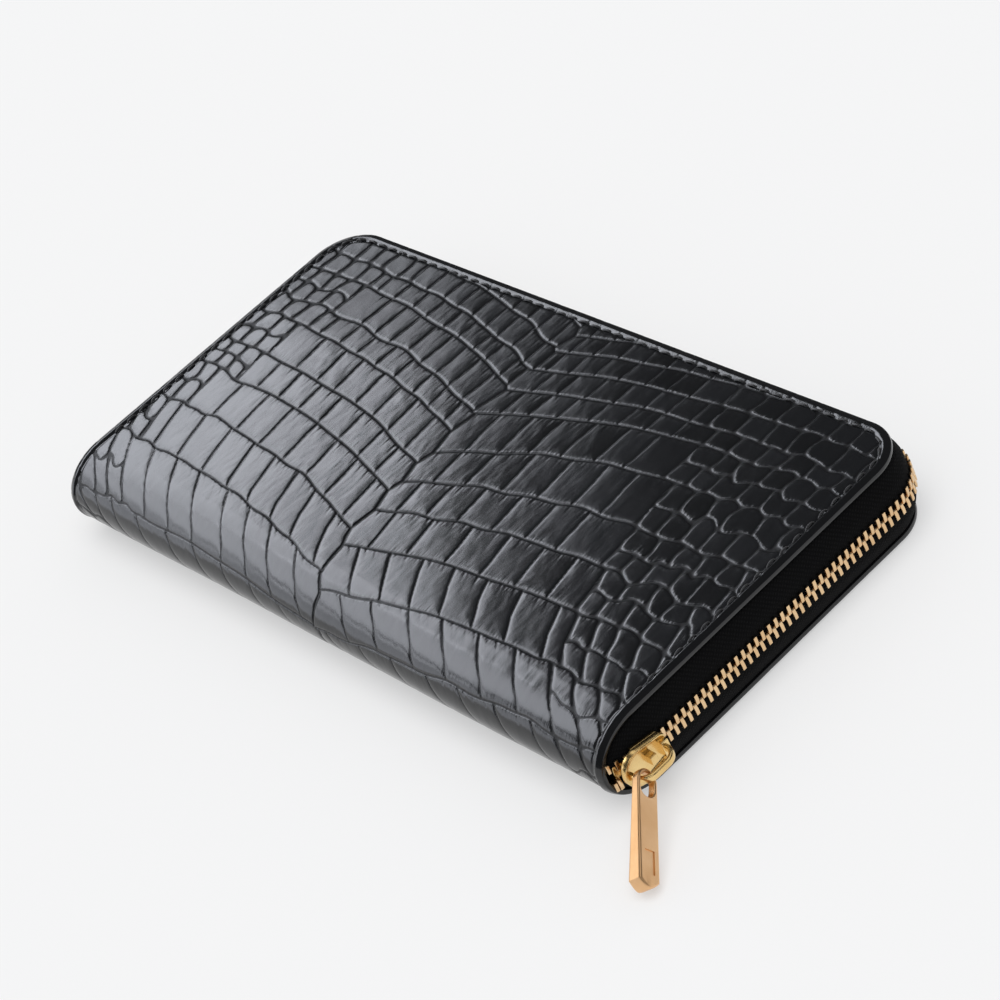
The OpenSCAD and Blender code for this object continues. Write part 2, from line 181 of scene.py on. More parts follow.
def border(n, m):
    """Indices (row, column) round a grid: first row, last column, last row, first column."""
    return np.array(cell_outline(0, n - 1, 0, m - 1, n, m))


def steps_to(last, step):
    """0, step, 2 step and so on, ending exactly at last."""
    stops = list(range(0, last, step))
    if last - stops[-1] < step / 2 and len(stops) > 1:
        stops.pop()
    return stops + [last]


def shell(outer, inner, bulge, flip, coarse=(6, 10), rings=3):
    """Closed sheet: a fine outer grid, a coarse inner grid and a half round edge between.

    A place in a grid is a row of numbers, its point first and then what make_mesh takes.
    """
    n, m = outer.shape[:2]
    loop = border(n, m)
    o, i = outer[tuple(loop.T)], inner[tuple(loop.T)]
    rows = [outer.reshape(n * m, -1)]
    ring_ids = [loop[:, 0] * m + loop[:, 1]]
    count = n * m
    for r in range(1, rings + 1):
        t = math.pi * r / (rings + 1)
        ring = (o + i) / 2 + (o - i) / 2 * math.cos(t)
        ring[:, :3] += bulge * math.sin(t)
        rows.append(ring)
        ring_ids.append(count + np.arange(len(loop)))
        count += len(loop)
    inner_id = {}

    def inner_point(key):
        if key not in inner_id:
            inner_id[key] = count + len(inner_id)
            rows.append(inner[key][None])
        return inner_id[key]

    ring_ids.append(np.array([inner_point(tuple(key)) for key in loop.tolist()]))
    a = np.arange(n * m).reshape(n, m)
    quads = np.stack([a[:-1, :-1], a[:-1, 1:], a[1:, 1:], a[1:, :-1]], axis=-1)
    faces = quads.reshape(-1, 4).tolist()
    for upper, lower in zip(ring_ids, ring_ids[1:]):
        u2, l2 = np.roll(upper, -1), np.roll(lower, -1)
        faces += np.stack([upper, lower, l2, u2], axis=-1).tolist()
    stops_i, stops_j = steps_to(n - 1, coarse[0]), steps_to(m - 1, coarse[1])
    for i0, i1 in zip(stops_i, stops_i[1:]):
        for j0, j1 in zip(stops_j, stops_j[1:]):
            outline = cell_outline(i0, i1, j0, j1, n, m)
            faces.append([inner_point(key) for key in reversed(outline)])
    if flip:
        faces = [f[::-1] for f in faces]
    return np.concatenate(rows), faces


def ring_faces(rings, count, start=0):
    """Faces between closed rings of points that follow each other, with a cap at both ends."""
    faces = []
    for i in range(rings - 1):
        for j in range(count):
            a, b = start + i * count + j, start + i * count + (j + 1) % count
            faces.append([a, b, b + count, a + count])
    faces.append([start + j for j in range(count)][::-1])
    faces.append([start + (rings - 1) * count + j for j in range(count)])
    return faces


def unit_tangents(line):
    """Direction at each point of a plane line."""
    tangent = np.gradient(line, axis=0)
    return tangent / np.hypot(tangent[:, :1], tangent[:, 1:])


def stitches(name, places, length, radius, body, lift=0.05):
    """One thread stitch at each place (point, heading, up): its ends dive into the leather."""
    rings = np.linspace(-1, 1, 7)[:, None]
    turn = 2 * math.pi * np.arange(8) / 8
    arch = lift - 2.2 * radius * np.abs(rings) ** 4
    strands = 1 + 0.14 * np.sin(2 * turn + 5 * rings)
    radii = radius * (1 - 0.45 * np.abs(rings) ** 3) * strands
    points, faces = [], []
    for p, along, up in places:
        along, up = np.asarray(along, float), np.asarray(up, float)
        centres = np.asarray(p) + rings * length / 2 * along + arch * up
        circle = np.cos(turn)[:, None] * np.cross(up, along) + np.sin(turn)[:, None] * up
        faces += ring_faces(len(rings), len(turn), start=len(points) * radii.size)
        points.append((centres[:, None] + radii[..., None] * circle).reshape(-1, 3))
    mesh = make_mesh(name, np.concatenate(points), faces, sharp=70)
    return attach(add_object(name, mesh, THREAD), body)


def bevelled(node, name, width, material, body, segments=3):
    """Copy of a CAD node with its edges rounded, which stands for the node."""
    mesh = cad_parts[node].data.copy()
    bm = bmesh.new()
    bm.from_mesh(mesh)
    bmesh.ops.remove_doubles(bm, verts=bm.verts, dist=1e-6)
    bmesh.ops.dissolve_limit(
        bm, angle_limit=math.radians(0.8), verts=bm.verts, edges=bm.edges
    )
    bm.to_mesh(mesh)
    bm.free()
    obj = add_object(name, mesh, material)
    mesh.shade_smooth()
    rounding = obj.modifiers.new("edges", "BEVEL")
    rounding.width = width * MM
    rounding.segments = segments
    rounding.limit_method = "ANGLE"
    rounding.angle_limit = math.radians(32)
    obj.modifiers.new("flat_faces", "WEIGHTED_NORMAL").keep_sharp = True
    finish_modifiers(obj)
    return stand_for(obj, node, body)


def finish_modifiers(obj):
    """Makes what an object's modifiers give its own mesh."""
    bpy.context.view_layer.update()
    graph = bpy.context.evaluated_depsgraph_get()
    mesh = bpy.data.meshes.new_from_object(obj.evaluated_get(graph))
    obj.modifiers.clear()
    obj.data = mesh


# ---------------------------------------------------------------- materials

# Millimetres in one unit of each kind of coordinates
PER_UNIT = {"object": 1000.0, "uv": 100.0}


class Shader:
    """A Principled material and the few node patterns that the wallet's materials share."""

    def __init__(self, name, coords, **sockets):
        self.material = bpy.data.materials.new(name)
        self.material.use_nodes = True
        self.tree = self.material.node_tree
        for key, value in sockets.items():
            self.feed(key.replace("_", " "), value)
        if coords == "uv":
            self.place = self.node("UVMap", uv_map="surface").outputs["UV"]
        else:
            self.place = self.node("TexCoord").outputs["Object"]

    def put(self, target, source):
        """Gives an input a value or another node's output."""
        if isinstance(source, bpy.types.NodeSocket):
            self.tree.links.new(source, target)
        else:
            target.default_value = source

    def feed(self, key, source):
        """The same for an input of the Principled shader."""
        self.put(self.tree.nodes["Principled BSDF"].inputs[key], source)

    def node(self, kind, inputs=None, **settings):
        made = self.tree.nodes.new("ShaderNode" + kind)
        for key, value in settings.items():
            setattr(made, key, value)
        for key, source in (inputs or {}).items():
            self.put(made.inputs[key], source)
        return made

    def stretched(self, scale, turn=0.0):
        inputs = {"Scale": scale, "Rotation": (0, 0, turn), "Vector": self.place}
        return self.node("Mapping", inputs).outputs["Vector"]

    def noise(self, scale, detail=2.0, stretch=(1, 1, 1)):
        inputs = {"Scale": scale, "Detail": detail, "Vector": self.stretched(stretch)}
        return self.node("TexNoise", inputs).outputs["Fac"]

    def cells(self, scale):
        inputs = {"Scale": scale, "Vector": self.stretched((1, 1, 1))}
        return self.node("TexVoronoi", inputs, feature="DISTANCE_TO_EDGE").outputs["Distance"]

    def wave(self, scale, turn, distortion):
        place = self.stretched((1, 1, 1), math.radians(turn))
        inputs = {"Scale": scale, "Distortion": distortion, "Vector": place}
        return self.node("TexWave", inputs).outputs["Fac"]

    def value(self, name):
        return self.node("Attribute", attribute_name=name).outputs["Fac"]

    def math(self, kind, a, b):
        return self.node("Math", {0: a, 1: b}, operation=kind).outputs[0]

    def ranged(self, value, low, high, out_low, out_high):
        inputs = dict(enumerate((value, low, high, out_low, out_high)))
        return self.node("MapRange", inputs).outputs[0]

    def colours(self, share, first, second):
        made = self.node("Mix", {"Factor": share}, data_type="RGBA")
        for key, colour in (("A", first), ("B", second)):
            self.put(made.inputs[key], (*colour, 1) if isinstance(colour, tuple) else colour)
        return made.outputs["Result"]

    def bump(self, height, distance):
        inputs = {"Distance": distance * MM, "Height": height}
        self.feed("Normal", self.node("Bump", inputs).outputs["Normal"])


def croc_leather():
    """Glazed black crocodile: satin tiles, matt grooves with painted shade, fine wrinkles and pores."""
    s = Shader("croc_leather", "uv", Coat_Weight=0.05, Coat_Roughness=0.15)
    near, tone = s.value("near"), s.value("tone")
    groove = s.ranged(s.value("groove"), 0.45, 0.85, 0, 1)
    tint = s.colours(tone, (0.0052, 0.0055, 0.0062), (0.0085, 0.009, 0.0105))
    # Darker base colour in the grooves is painted shade in the creases.
    groove_painted_shade = s.math("MULTIPLY", groove, 0.95)
    s.feed("Base Color", s.colours(groove_painted_shade, tint, (0.0012, 0.0012, 0.0014)))
    rough = s.ranged(s.noise(9.0, 3.0), 0.3, 0.7, 0.125, 0.175)
    rough = s.math("ADD", rough, s.math("MULTIPLY", tone, 0.03))
    s.feed("Roughness", s.math("ADD", rough, s.math("MULTIPLY", groove, 0.45)))
    pores = s.math("MULTIPLY", s.noise(260.0, 3.0), 0.14)
    streaks = s.math("MULTIPLY", s.noise(46.0, 3.0, (2.4, 0.5, 1)), 0.2)
    ticks = s.noise(80.0, 2.0, (2.6, 0.35, 1))
    ticks = s.math("MULTIPLY", ticks, s.math("MULTIPLY", near, 3.0))
    dents = s.math("MULTIPLY", s.noise(22.0, 1.0, (1.6, 0.8, 1)), 1.4)
    crease = s.ranged(s.value("groove"), 0.4, 1.0, 0.0, -2.0)
    grain = s.math("ADD", pores, s.math("ADD", streaks, ticks))
    s.bump(s.math("ADD", grain, s.math("ADD", dents, crease)), 0.05)
    return s.material


def smooth_leather(name, coords, colour):
    """Grained calf leather of the linings, the card pockets and the coin pocket."""
    s = Shader(name, coords, Coat_Weight=0.08, Coat_Roughness=0.4)
    scale = PER_UNIT[coords]
    dark = tuple(0.6 * c for c in colour)
    s.feed("Base Color", s.colours(s.noise(0.08 * scale, 3.0), dark, colour))
    grain = s.cells(1.1 * scale)
    s.feed("Roughness", s.ranged(grain, 0.0, 0.4, 0.62, 0.44))
    fine = s.math("MULTIPLY", s.noise(3.0 * scale, 2.0), 0.35)
    s.bump(s.math("ADD", s.ranged(grain, 0.0, 0.3, 0.0, 1.0), fine), 0.06)
    return s.material


def woven_tape(name, coords):
    """Herringbone zip tape: ribs across fine cross threads."""
    s = Shader(name, coords, Roughness=0.9, Specular_IOR_Level=0.12)
    scale = PER_UNIT[coords]
    weave = s.math("MULTIPLY", s.wave(0.35 * scale, 45, 0.6), s.wave(0.5 * scale, -50, 0.6))
    s.feed("Base Color", s.colours(weave, (0.0018, 0.0018, 0.002), (0.0048, 0.0048, 0.0052)))
    s.bump(weave, 0.09)
    return s.material


def thread_black():
    """Waxed black thread with a soft shine and a twisted grain."""
    s = Shader("thread_black", "object", Roughness=0.38, Sheen_Weight=0.2)
    strands = s.wave(900.0, 35, 1.0)
    s.feed("Base Color", s.colours(strands, (0.008, 0.008, 0.009), (0.03, 0.03, 0.032)))
    s.bump(strands, 0.03)
    return s.material


def gold(name, bright, deep, rough):
    """Polished plating with faint scratches, small wear patches and uneven shine."""
    s = Shader(name, "object", Metallic=1.0)
    patches = s.noise(160.0, 3.0)
    scratches = s.noise(900.0, 2.0, (1, 6, 1))
    s.feed("Base Color", s.colours(s.ranged(patches, 0.35, 0.65, 0, 1), bright, deep))
    worn = s.ranged(scratches, 0.3, 0.7, rough, rough + 0.09)
    s.feed("Roughness", s.math("ADD", worn, s.math("MULTIPLY", patches, 0.05)))
    s.bump(scratches, 0.006)
    return s.material


def plain_fibre(name, first, second, rough):
    """Board and foam that stay hidden between the leathers."""
    s = Shader(name, "object", Roughness=rough)
    fibres = s.noise(700.0, 4.0)
    s.feed("Base Color", s.colours(fibres, first, second))
    s.bump(fibres, 0.05)
    return s.material


CROC = croc_leather()
LINING = smooth_leather("lining_leather", "uv", (0.042, 0.041, 0.04))
POCKET = smooth_leather("pocket_leather", "object", (0.055, 0.053, 0.052))
TAPE = woven_tape("zip_tape", "uv")
COIN_TAPE = woven_tape("coin_zip_tape", "object")
THREAD = thread_black()
TOOTH_GOLD = gold("tooth_gold", (0.84, 0.6, 0.35), (0.74, 0.5, 0.27), 0.2)
SLIDER_GOLD = gold("slider_gold", (0.86, 0.63, 0.29), (0.76, 0.51, 0.2), 0.16)
TAB_GOLD = gold("tab_gold", (0.86, 0.55, 0.3), (0.8, 0.49, 0.25), 0.27)
BOARD = plain_fibre("board", (0.12, 0.11, 0.1), (0.2, 0.19, 0.17), 0.9)
FOAM = plain_fibre("foam", (0.1, 0.1, 0.1), (0.16, 0.16, 0.16), 0.95)


# ---------------------------------------------------------------- crocodile hide

# Heights v on the centre line of the row lines left and right of it
LEFT_ROWS = [64, 54, 45.5, 37.8, 30, 23.6, 13, 5.9, -5.4, -14.8, -27.5, -41, -53.5, -64.5]
RIGHT_ROWS = [66, 57, 49, 42.8, 36.8, 30, 22.1, 12.8, -1, -11, -20.6, -32.3, -44.8, -54, -65]
UNDERSIDE_ROWS = [-76 - 10.4 * i for i in range(12)]
# Drift of the centre line along v, and how far it swings where a row line meets it
CENTRE_V = [-62, -46, -30, -10, 15, 30, 46]
CENTRE_X = [3, 0.5, -5, -6.8, -7.4, -5.6, -4]
CENTRE_SWING = 0.8
# Distance in which most of a row line's climb is done, left and right
ROW_REACH = (40, 44)
# Relief of a tile: its crown, the depth of a row line and of a cross cut, corner softness
CROWN = 0.09
ROW_DEPTH = 0.14
CUT_DEPTH = 0.08
ROUNDNESS = 1.8
# Flank scales, left and right: their width, and the row height above which a row splits in two
SCALE_WIDTH = (5.9, 6.9)
SPLIT_GAP = (9.0, 10.4)


def row_rise(v, side):
    """How far a row line climbs from the centre line to the flank."""
    bend = 11 if side == 0 else 10.5 + 8.5 * math.exp(-(((v - 3) / 15) ** 2))
    return bend * (1 - 0.75 * math.exp(-(((v + 61) / 12) ** 2)))


def row_line(v, d, side, number):
    """Height of a row line at distance d from the centre line."""
    reach = ROW_REACH[side]
    climb = row_rise(v, side) * np.tanh(d / reach) / math.tanh(75 / reach)
    loose = 0.32 + 0.3 * smooth(d, 55, 85)
    scaly = 0.45 * smooth(d, 60, 82) * wobble(d, 0 * d, 8, 100 * side + number + 50, 3)
    return v + climb + loose * wobble(d, 0 * d, 17, 100 * side + number, 4) + scaly


def tile_width(v):
    """Spacing of the cross cuts: narrow near the far edge, wide on the spine."""
    return float(np.interp(v, [-62, -35, 10, 45], [12.2, 10.6, 8.3, 6.3]))


def cut_list(rng, start, end, width, spread):
    """Increasing distances of the cuts from start to end."""
    cuts = [start]
    while cuts[-1] < end:
        cuts.append(cuts[-1] + width * rng.uniform(1 - spread, 1 + spread))
    return np.array(cuts)


def nearest_cut(d, cuts):
    """Distance to the nearest cut and the number of the tile."""
    tile = np.clip(np.searchsorted(cuts, d), 1, len(cuts) - 1)
    return np.minimum(np.abs(d - cuts[tile - 1]), np.abs(cuts[tile] - d)), tile


def random_of(*numbers):
    """Repeatable random value from 0 to 1 for a tile."""
    total = sum(n * k for n, k in zip(numbers, (12.9898, 78.233, 37.719, 9.151)))
    return np.abs(np.sin(total) * 43758.5453) % 1


def line_mark(distance, width):
    """1 on a line, falling evenly to 0 at the given distance, so that a mesh holds it sharply."""
    return np.clip(1 - distance / width, 0, 1)


def row_tiles(x, v, d, centre_gap, upper, lower, side, number, row_v):
    """Relief of one row: (height, groove, near, tone) for points between its two lines."""
    rng = np.random.default_rng(1000 * side + number)
    gap = np.maximum(upper - lower, 0.01)
    share = (v - lower) / gap
    lean = 0.06 + 0.42 * float(smooth(-row_v, 15, 40))
    shift = (1 if side else -1) * lean * ((upper + lower) / 2 - v)
    dd = d - shift + 0.12 * wobble(x, v, 14, 7)
    flank = (67 if side else 72) - 0.28 * row_v + rng.uniform(-4, 4)
    width = tile_width(row_v)
    first = cut_list(rng, width * rng.uniform(0.5, 1.0), flank - width / 2, width, 0.13)
    first = np.concatenate([[-20], first[:-1], [flank]])
    e_cut, tile = nearest_cut(dd, first)
    e_row = np.minimum(v - lower, upper - v)
    outside = dd > flank
    sub = np.zeros_like(d)
    split_share = 0.5 + 0.06 * wobble(d, v, 9, 31 + number)
    deep = outside.any() and gap[outside].mean() > SPLIT_GAP[side]
    for half in (0, 1):
        here = outside & ((share > split_share) == bool(half)) if deep else outside
        cuts = cut_list(rng, flank, 115, SCALE_WIDTH[side], 0.2)
        e_here, tile_here = nearest_cut(dd + 0.35 * wobble(x, v, 10, 11 + half), cuts)
        e_cut = np.where(here, e_here, e_cut)
        tile = np.where(here, tile_here + 40, tile)
        sub = np.where(here, half, sub)
    if deep:
        e_split = np.abs(share - split_share) * gap
        e_row = np.where(outside, np.minimum(e_row, e_split), e_row)
    e_round = -np.log(np.exp(-ROUNDNESS * e_row) + np.exp(-ROUNDNESS * e_cut)) / ROUNDNESS
    e_round = np.maximum(e_round, 0)
    flat = smooth(dd, flank - 9, flank + 3)
    e_min = np.minimum(np.minimum(e_row, e_cut), centre_gap)
    e_long = np.minimum(e_row, centre_gap)
    row_groove = np.exp(-((e_long / 0.3) ** 2))
    cut_groove = np.exp(-((e_cut / 0.25) ** 2))
    belly = CROWN * (1 - np.exp(-e_min / 1.1)) - ROW_DEPTH * row_groove - CUT_DEPTH * cut_groove
    dome = 0.075 * (1 - np.exp(-e_round / 0.8))
    pebble = dome - 0.11 * np.exp(-((e_round / 0.3) ** 2)) - 0.03
    tone = random_of(side + 1, number, tile, sub)
    tilt = 0.09 * (tone - 0.5) * (share - 0.5) + 0.05 * (random_of(tone * 9, 3) - 0.5)
    beat = np.sin(dd * 3.1 + 9 * tone) * np.sin(dd * 1.3 + 5 * tone)
    ticks = 0.11 * np.exp(-(upper - v) / 1.3) * np.maximum(beat, 0) ** 2
    height = (1 - flat) * (belly + tilt - ticks) + flat * (pebble + 0.6 * tilt)
    lines = np.maximum(line_mark(e_long, 0.62), line_mark(e_cut, 0.44))
    groove = (1 - flat) * lines + flat * line_mark(e_round, 0.58)
    return height, groove, np.exp(-e_row / 0.9), tone


def croc(x, v):
    """Relief of the hide at x and height v; zero is the top of the tallest tile."""
    knots = sorted(
        [(row, -CENTRE_SWING) for row in LEFT_ROWS + UNDERSIDE_ROWS]
        + [(row + 0.01, CENTRE_SWING) for row in RIGHT_ROWS + UNDERSIDE_ROWS]
    )
    swing = np.interp(v, [k[0] for k in knots], [k[1] for k in knots])
    middle = np.interp(v, CENTRE_V, CENTRE_X)
    right = x > middle + swing
    centre_gap = np.abs(x - middle - swing)
    d = np.where(right, x - middle, middle - x)
    height, groove, near, tone = (np.zeros_like(x) for _ in range(4))
    for side, top_rows in enumerate((LEFT_ROWS, RIGHT_ROWS)):
        rows = top_rows + UNDERSIDE_ROWS
        lines = [row_line(row, d, side, k) for k, row in enumerate(rows)]
        for k in range(len(rows) - 1):
            here = (right == bool(side)) & (v <= lines[k]) & (v > lines[k + 1])
            if here.any():
                got = row_tiles(
                    x[here], v[here], d[here], centre_gap[here], lines[k][here],
                    lines[k + 1][here], side, k, rows[k],
                )
                height[here], groove[here], near[here], tone[here] = got
    swell = 0.1 * wobble(x, v, 60, 77)
    return height + swell - 0.42, groove, near, tone


def rounded(x, y, inset):
    """Moves points of a square cornered grid onto the cover's outline with round corners."""
    r = CORNER_R - inset
    a = np.clip((np.abs(x) - CORNER_X) / r, 0, 1)
    b = np.clip((y - CORNER_Y) / r, 0, 1)
    big = np.maximum(np.maximum(a, b), 1e-9)
    turn = np.where(a >= b, math.pi / 4 * b / big, math.pi / 2 - math.pi / 4 * a / big)
    inside = (a > 0) & (b > 0)
    new_x = np.sign(x) * (CORNER_X + r * big * np.cos(turn))
    new_y = CORNER_Y + r * big * np.sin(turn)
    return np.where(inside, new_x, x), np.where(inside, new_y, y)


def edge_distance(x, y):
    """Distance in from the cover's outline."""
    cx, cy = np.abs(x) - CORNER_X, y - CORNER_Y
    corner = CORNER_R - np.hypot(np.maximum(cx, 0), np.maximum(cy, 0))
    straight = np.minimum(HALF_W - np.abs(x), FAR_Y - y)
    return np.where((cx > 0) & (cy > 0), corner, straight)


def outward(x, y, last_row):
    """Outward direction in plan at the cover's outline."""
    cx, cy = np.abs(x) - CORNER_X, y - CORNER_Y
    size = np.maximum(np.hypot(cx, cy), 1e-9)
    corner = (cx > 0) & (cy > 0)
    ox = np.where(corner, np.sign(x) * cx / size, np.where(last_row, 0, np.sign(x)))
    oy = np.where(corner, cy / size, np.where(last_row, 1, 0))
    return np.stack([ox, oy, np.zeros_like(ox)], axis=-1)


def on_cover(x, s, rise, side, *more):
    """Rows for points at distance s from the spine's middle, raised off the outer face."""
    a = np.interp(s, ARC_S, ARC_A)
    y = ROLL_Y - SPINE_DEPTH * np.cos(a) + np.maximum(s - QUARTER, 0)
    z = MID_Z + MID_Z * np.sin(a)
    ny, nz = -np.cos(a) / SPINE_DEPTH, np.sin(a) / MID_Z
    size = np.hypot(ny, nz)
    y, z = y + rise * ny / size, z + rise * nz / size
    return np.stack([x, y, z if side > 0 else HEIGHT - z, *more], axis=-1)


def bend_to_spine(obj, side):
    """Bakes a piece's place into its mesh, the same on either side; nothing is bent."""
    if side > 0:
        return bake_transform(obj)
    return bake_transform(obj)


def cover_grid(inset, across, along, spine_step=None):
    """Grid of x, y and s, whose rows run from the spine's middle to the far edge."""
    far = QUARTER + FAR_Y - inset - ROLL_Y
    bend = np.arange(0, QUARTER, spine_step or along)
    flat = np.linspace(QUARTER, far, int((far - QUARTER) / along) + 1)
    s = np.concatenate([bend, flat])
    half = HALF_W - inset
    x = np.linspace(-half, half, int(2 * half / across) + 1)
    x, s = np.meshgrid(x, s)
    y = ROLL_Y + s - QUARTER
    x, y = rounded(x, y, inset)
    s = np.where(s > QUARTER, y - ROLL_Y + QUARTER, s)
    return x, np.where(s > QUARTER, ROLL_Y + s - QUARTER, ROLL_Y), s


def outer_leather(side, across, along, spine_step):
    """Half of the hide: one cover and the half of the spine beside it, with its edge turned in."""
    cover = cover_of(side)
    name = cover + "_outer_leather"
    rim = 0.55
    x, y, s = cover_grid(rim, across, along, spine_step)
    v = MIDDLE_V + side * s
    height, *values = croc(x, v)
    edge = edge_distance(x, y)
    fade = smooth(edge, 1.5, 3.0)
    channel = 0.16 * np.exp(-(((edge - STITCH_INSET) / 0.42) ** 2))
    turned = 0.3 * (1 - smooth(edge, 0.5, 1.7))
    rise = height * (0.25 + 0.75 * fade) - channel - turned - 0.04
    thick = SKIN_T + 0.65 * (1 - smooth(edge, 1.3, 1.9))
    more = [x / 100, v / 100] + [value * fade for value in values]
    outer = on_cover(x, s, rise, side, *more)
    inner = on_cover(x, s, -thick, side, *more)
    loop = border(*x.shape)
    bx, by = x[tuple(loop.T)], y[tuple(loop.T)]
    bulge = rim * outward(bx, by, loop[:, 0] == x.shape[0] - 1)
    bulge[1 : x.shape[1] - 1] *= 0
    mesh = make_mesh(name, *shell(outer, inner, bulge, flip=side < 0))
    obj = add_object(name, mesh, CROC)
    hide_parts(cover + "_cover_skin", *(["spine_skin"] if side > 0 else []))
    return bend_to_spine(obj, side)


def inner_lining(side):
    """Lining of one cover, which runs on round half of the spine."""
    cover = cover_of(side)
    name = cover + "_inner_lining"
    inset = 3.5
    x, y, s = cover_grid(inset, 2.0, 1.2)
    depth = SKIN_T + (2.4 - SKIN_T) * smooth(s, QUARTER * 0.55, QUARTER)
    crease = 0.12 * np.exp(-(((edge_distance(x, y) - inset - 2) / 0.5) ** 2))
    puff = 0.05 * wobble(x, s, 30, 5)
    back = on_cover(x, s, -depth, side, x / 100, s / 100)
    face = on_cover(x, s, -(depth + LINING_T - crease - puff), side, x / 100, s / 100)
    mesh = make_mesh(name, *shell(face, back, 0, flip=side > 0, rings=1))
    obj = add_object(name, mesh, LINING)
    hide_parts(cover + "_lining", *(["spine_lining"] if side < 0 else []))
    return bend_to_spine(obj, side)


# ---------------------------------------------------------------- edge path, stitches and zip


def edge_length(outset, start_y):
    """Length of the path round the three open sides, outset from the cover edge."""
    return 2 * (CORNER_Y - start_y) + math.pi * (CORNER_R + outset) + 2 * CORNER_X


def edge_place(dist, outset, start_y):
    """Place and heading at a distance along that path, from the right end of the spine."""
    whole = edge_length(outset, start_y)
    if dist > whole / 2:
        x, y, turn = edge_place(whole - dist, outset, start_y)
        return -x, y, 2 * math.pi - turn
    r = CORNER_R + outset
    past = dist - (CORNER_Y - start_y)
    a = past / r
    if a < 0:
        return HALF_W + outset, start_y + dist, math.pi / 2
    if a < math.pi / 2:
        return CORNER_X + r * math.cos(a), CORNER_Y + r * math.sin(a), math.pi / 2 + a
    return CORNER_X - (past - math.pi * r / 2), FAR_Y + outset, math.pi


def mirrored(z, side):
    """Height on the upper or lower half for a height given on the lower one."""
    return HEIGHT - z if side > 0 else z


def edge_stitching(side):
    """Stitches round a cover, sunk into the channel near its edge."""
    start = ROLL_Y + 2
    count = int(edge_length(-STITCH_INSET, start) / STITCH_PITCH)
    places = []
    for i in range(count):
        x, y, turn = edge_place((i + 0.5) * STITCH_PITCH, -STITCH_INSET, start)
        slant = turn + math.radians(7)
        along = (math.cos(slant), math.sin(slant), 0)
        places.append(((x, y, mirrored(0.24, side)), along, (0, 0, side)))
    cover = cover_of(side)
    obj = stitches(cover + "_edge_thread", places, 3.2, 0.27, cover + "_cover")
    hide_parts(cover + "_edge_stitching")


def recede(y):
    """How far the zip's ends turn in beside the spine."""
    return 1.7 * float(smooth(-y, 42.5, 49))


def parted(y):
    """Share of the rows' full spread at a place along the right side."""
    return min(1.0, max(0.0, (-37.2 - y) / (42 - 37.2)))


def zip_place(dist, start_y):
    """Place and heading on the zip's line, with its ends turned in and its rows spread."""
    x, y, turn = edge_place(dist, ZIP_BULGE, start_y)
    straight_side = abs(x) > CORNER_X and y < CORNER_Y
    if straight_side:
        x -= math.copysign(recede(y), x)
    drop = ROW_SPREAD * parted(y) if x > 0 and straight_side else 0
    return x, y, turn, drop


def spine_inside(y):
    """Height of the leather's inner face, on the lower half, at a place beside the spine."""
    reach = min(1.0, max(0.0, (ROLL_Y - y) / SPINE_DEPTH))
    return MID_Z - MID_Z * math.sqrt(1 - reach * reach) + SKIN_T + 0.6


def zip_tape(side):
    """Woven tape round the three open sides, with a thick cord where the teeth clamp it."""
    line = np.array([(-8.8, 2.15), (-1.2, 2.15), (-0.55, 2.35), (-0.15, 3.0), (0.3, 4.0),
                     (0.75, 5.0), (1.05, 6.0), (1.1, 7.2), (1.1, 8.3)])
    cord_r, cord_z = 0.36, 8.75
    tangent = unit_tangents(line)
    normal = np.stack([tangent[:, 1], -tangent[:, 0]], axis=-1)
    out_line, in_line = line + normal * TAPE_T / 2, line - normal * TAPE_T / 2
    turn = np.radians(np.linspace(-60, 240, 9))
    cord = np.stack([ZIP_BULGE + cord_r * np.cos(turn), cord_z + cord_r * np.sin(turn)], axis=-1)
    ring = np.concatenate([out_line, cord, in_line[::-1]])
    width = np.concatenate([[0], np.cumsum(np.hypot(*np.diff(ring, axis=0).T))])
    stands = smooth(ring[:, 1], 3, 5) * (1 - smooth(ring[:, 1], 7, 8.5))
    rows = []
    for dist in np.linspace(0, edge_length(ZIP_BULGE, TAPE_END_Y), 420):
        x, y, heading, drop = zip_place(dist, TAPE_END_Y)
        ox, oy = math.sin(heading), -math.cos(heading)
        u = ring[:, 0] - ZIP_BULGE + 0.1 * math.sin(dist / 5.3) * stands
        z = ring[:, 1] - drop * smooth(ring[:, 1], 5.5, 8.3)
        if y < ROLL_Y + 0.5:
            low = spine_inside(y) + 0.35
            z = low + np.maximum(z - ring[0, 1], 0) * (cord_z - low) / (cord_z - ring[0, 1])
            u = np.maximum(u, -3.4 + 0.01 * ring[:, 0])
        place = [x + ox * u, y + oy * u, mirrored(z, side)]
        rows.append(np.stack([*place, np.full(len(ring), dist / 100), width / 100], axis=-1))
    faces = ring_faces(len(rows), len(ring))
    if side < 0:
        faces = [f[::-1] for f in faces]
    cover = cover_of(side)
    name = cover + "_woven_tape"
    mesh = make_mesh(name, np.concatenate(rows), faces, sharp=60)
    obj = add_object(name, mesh, TAPE)
    stand_for(obj, cover + "_zip_tape", cover + "_cover")


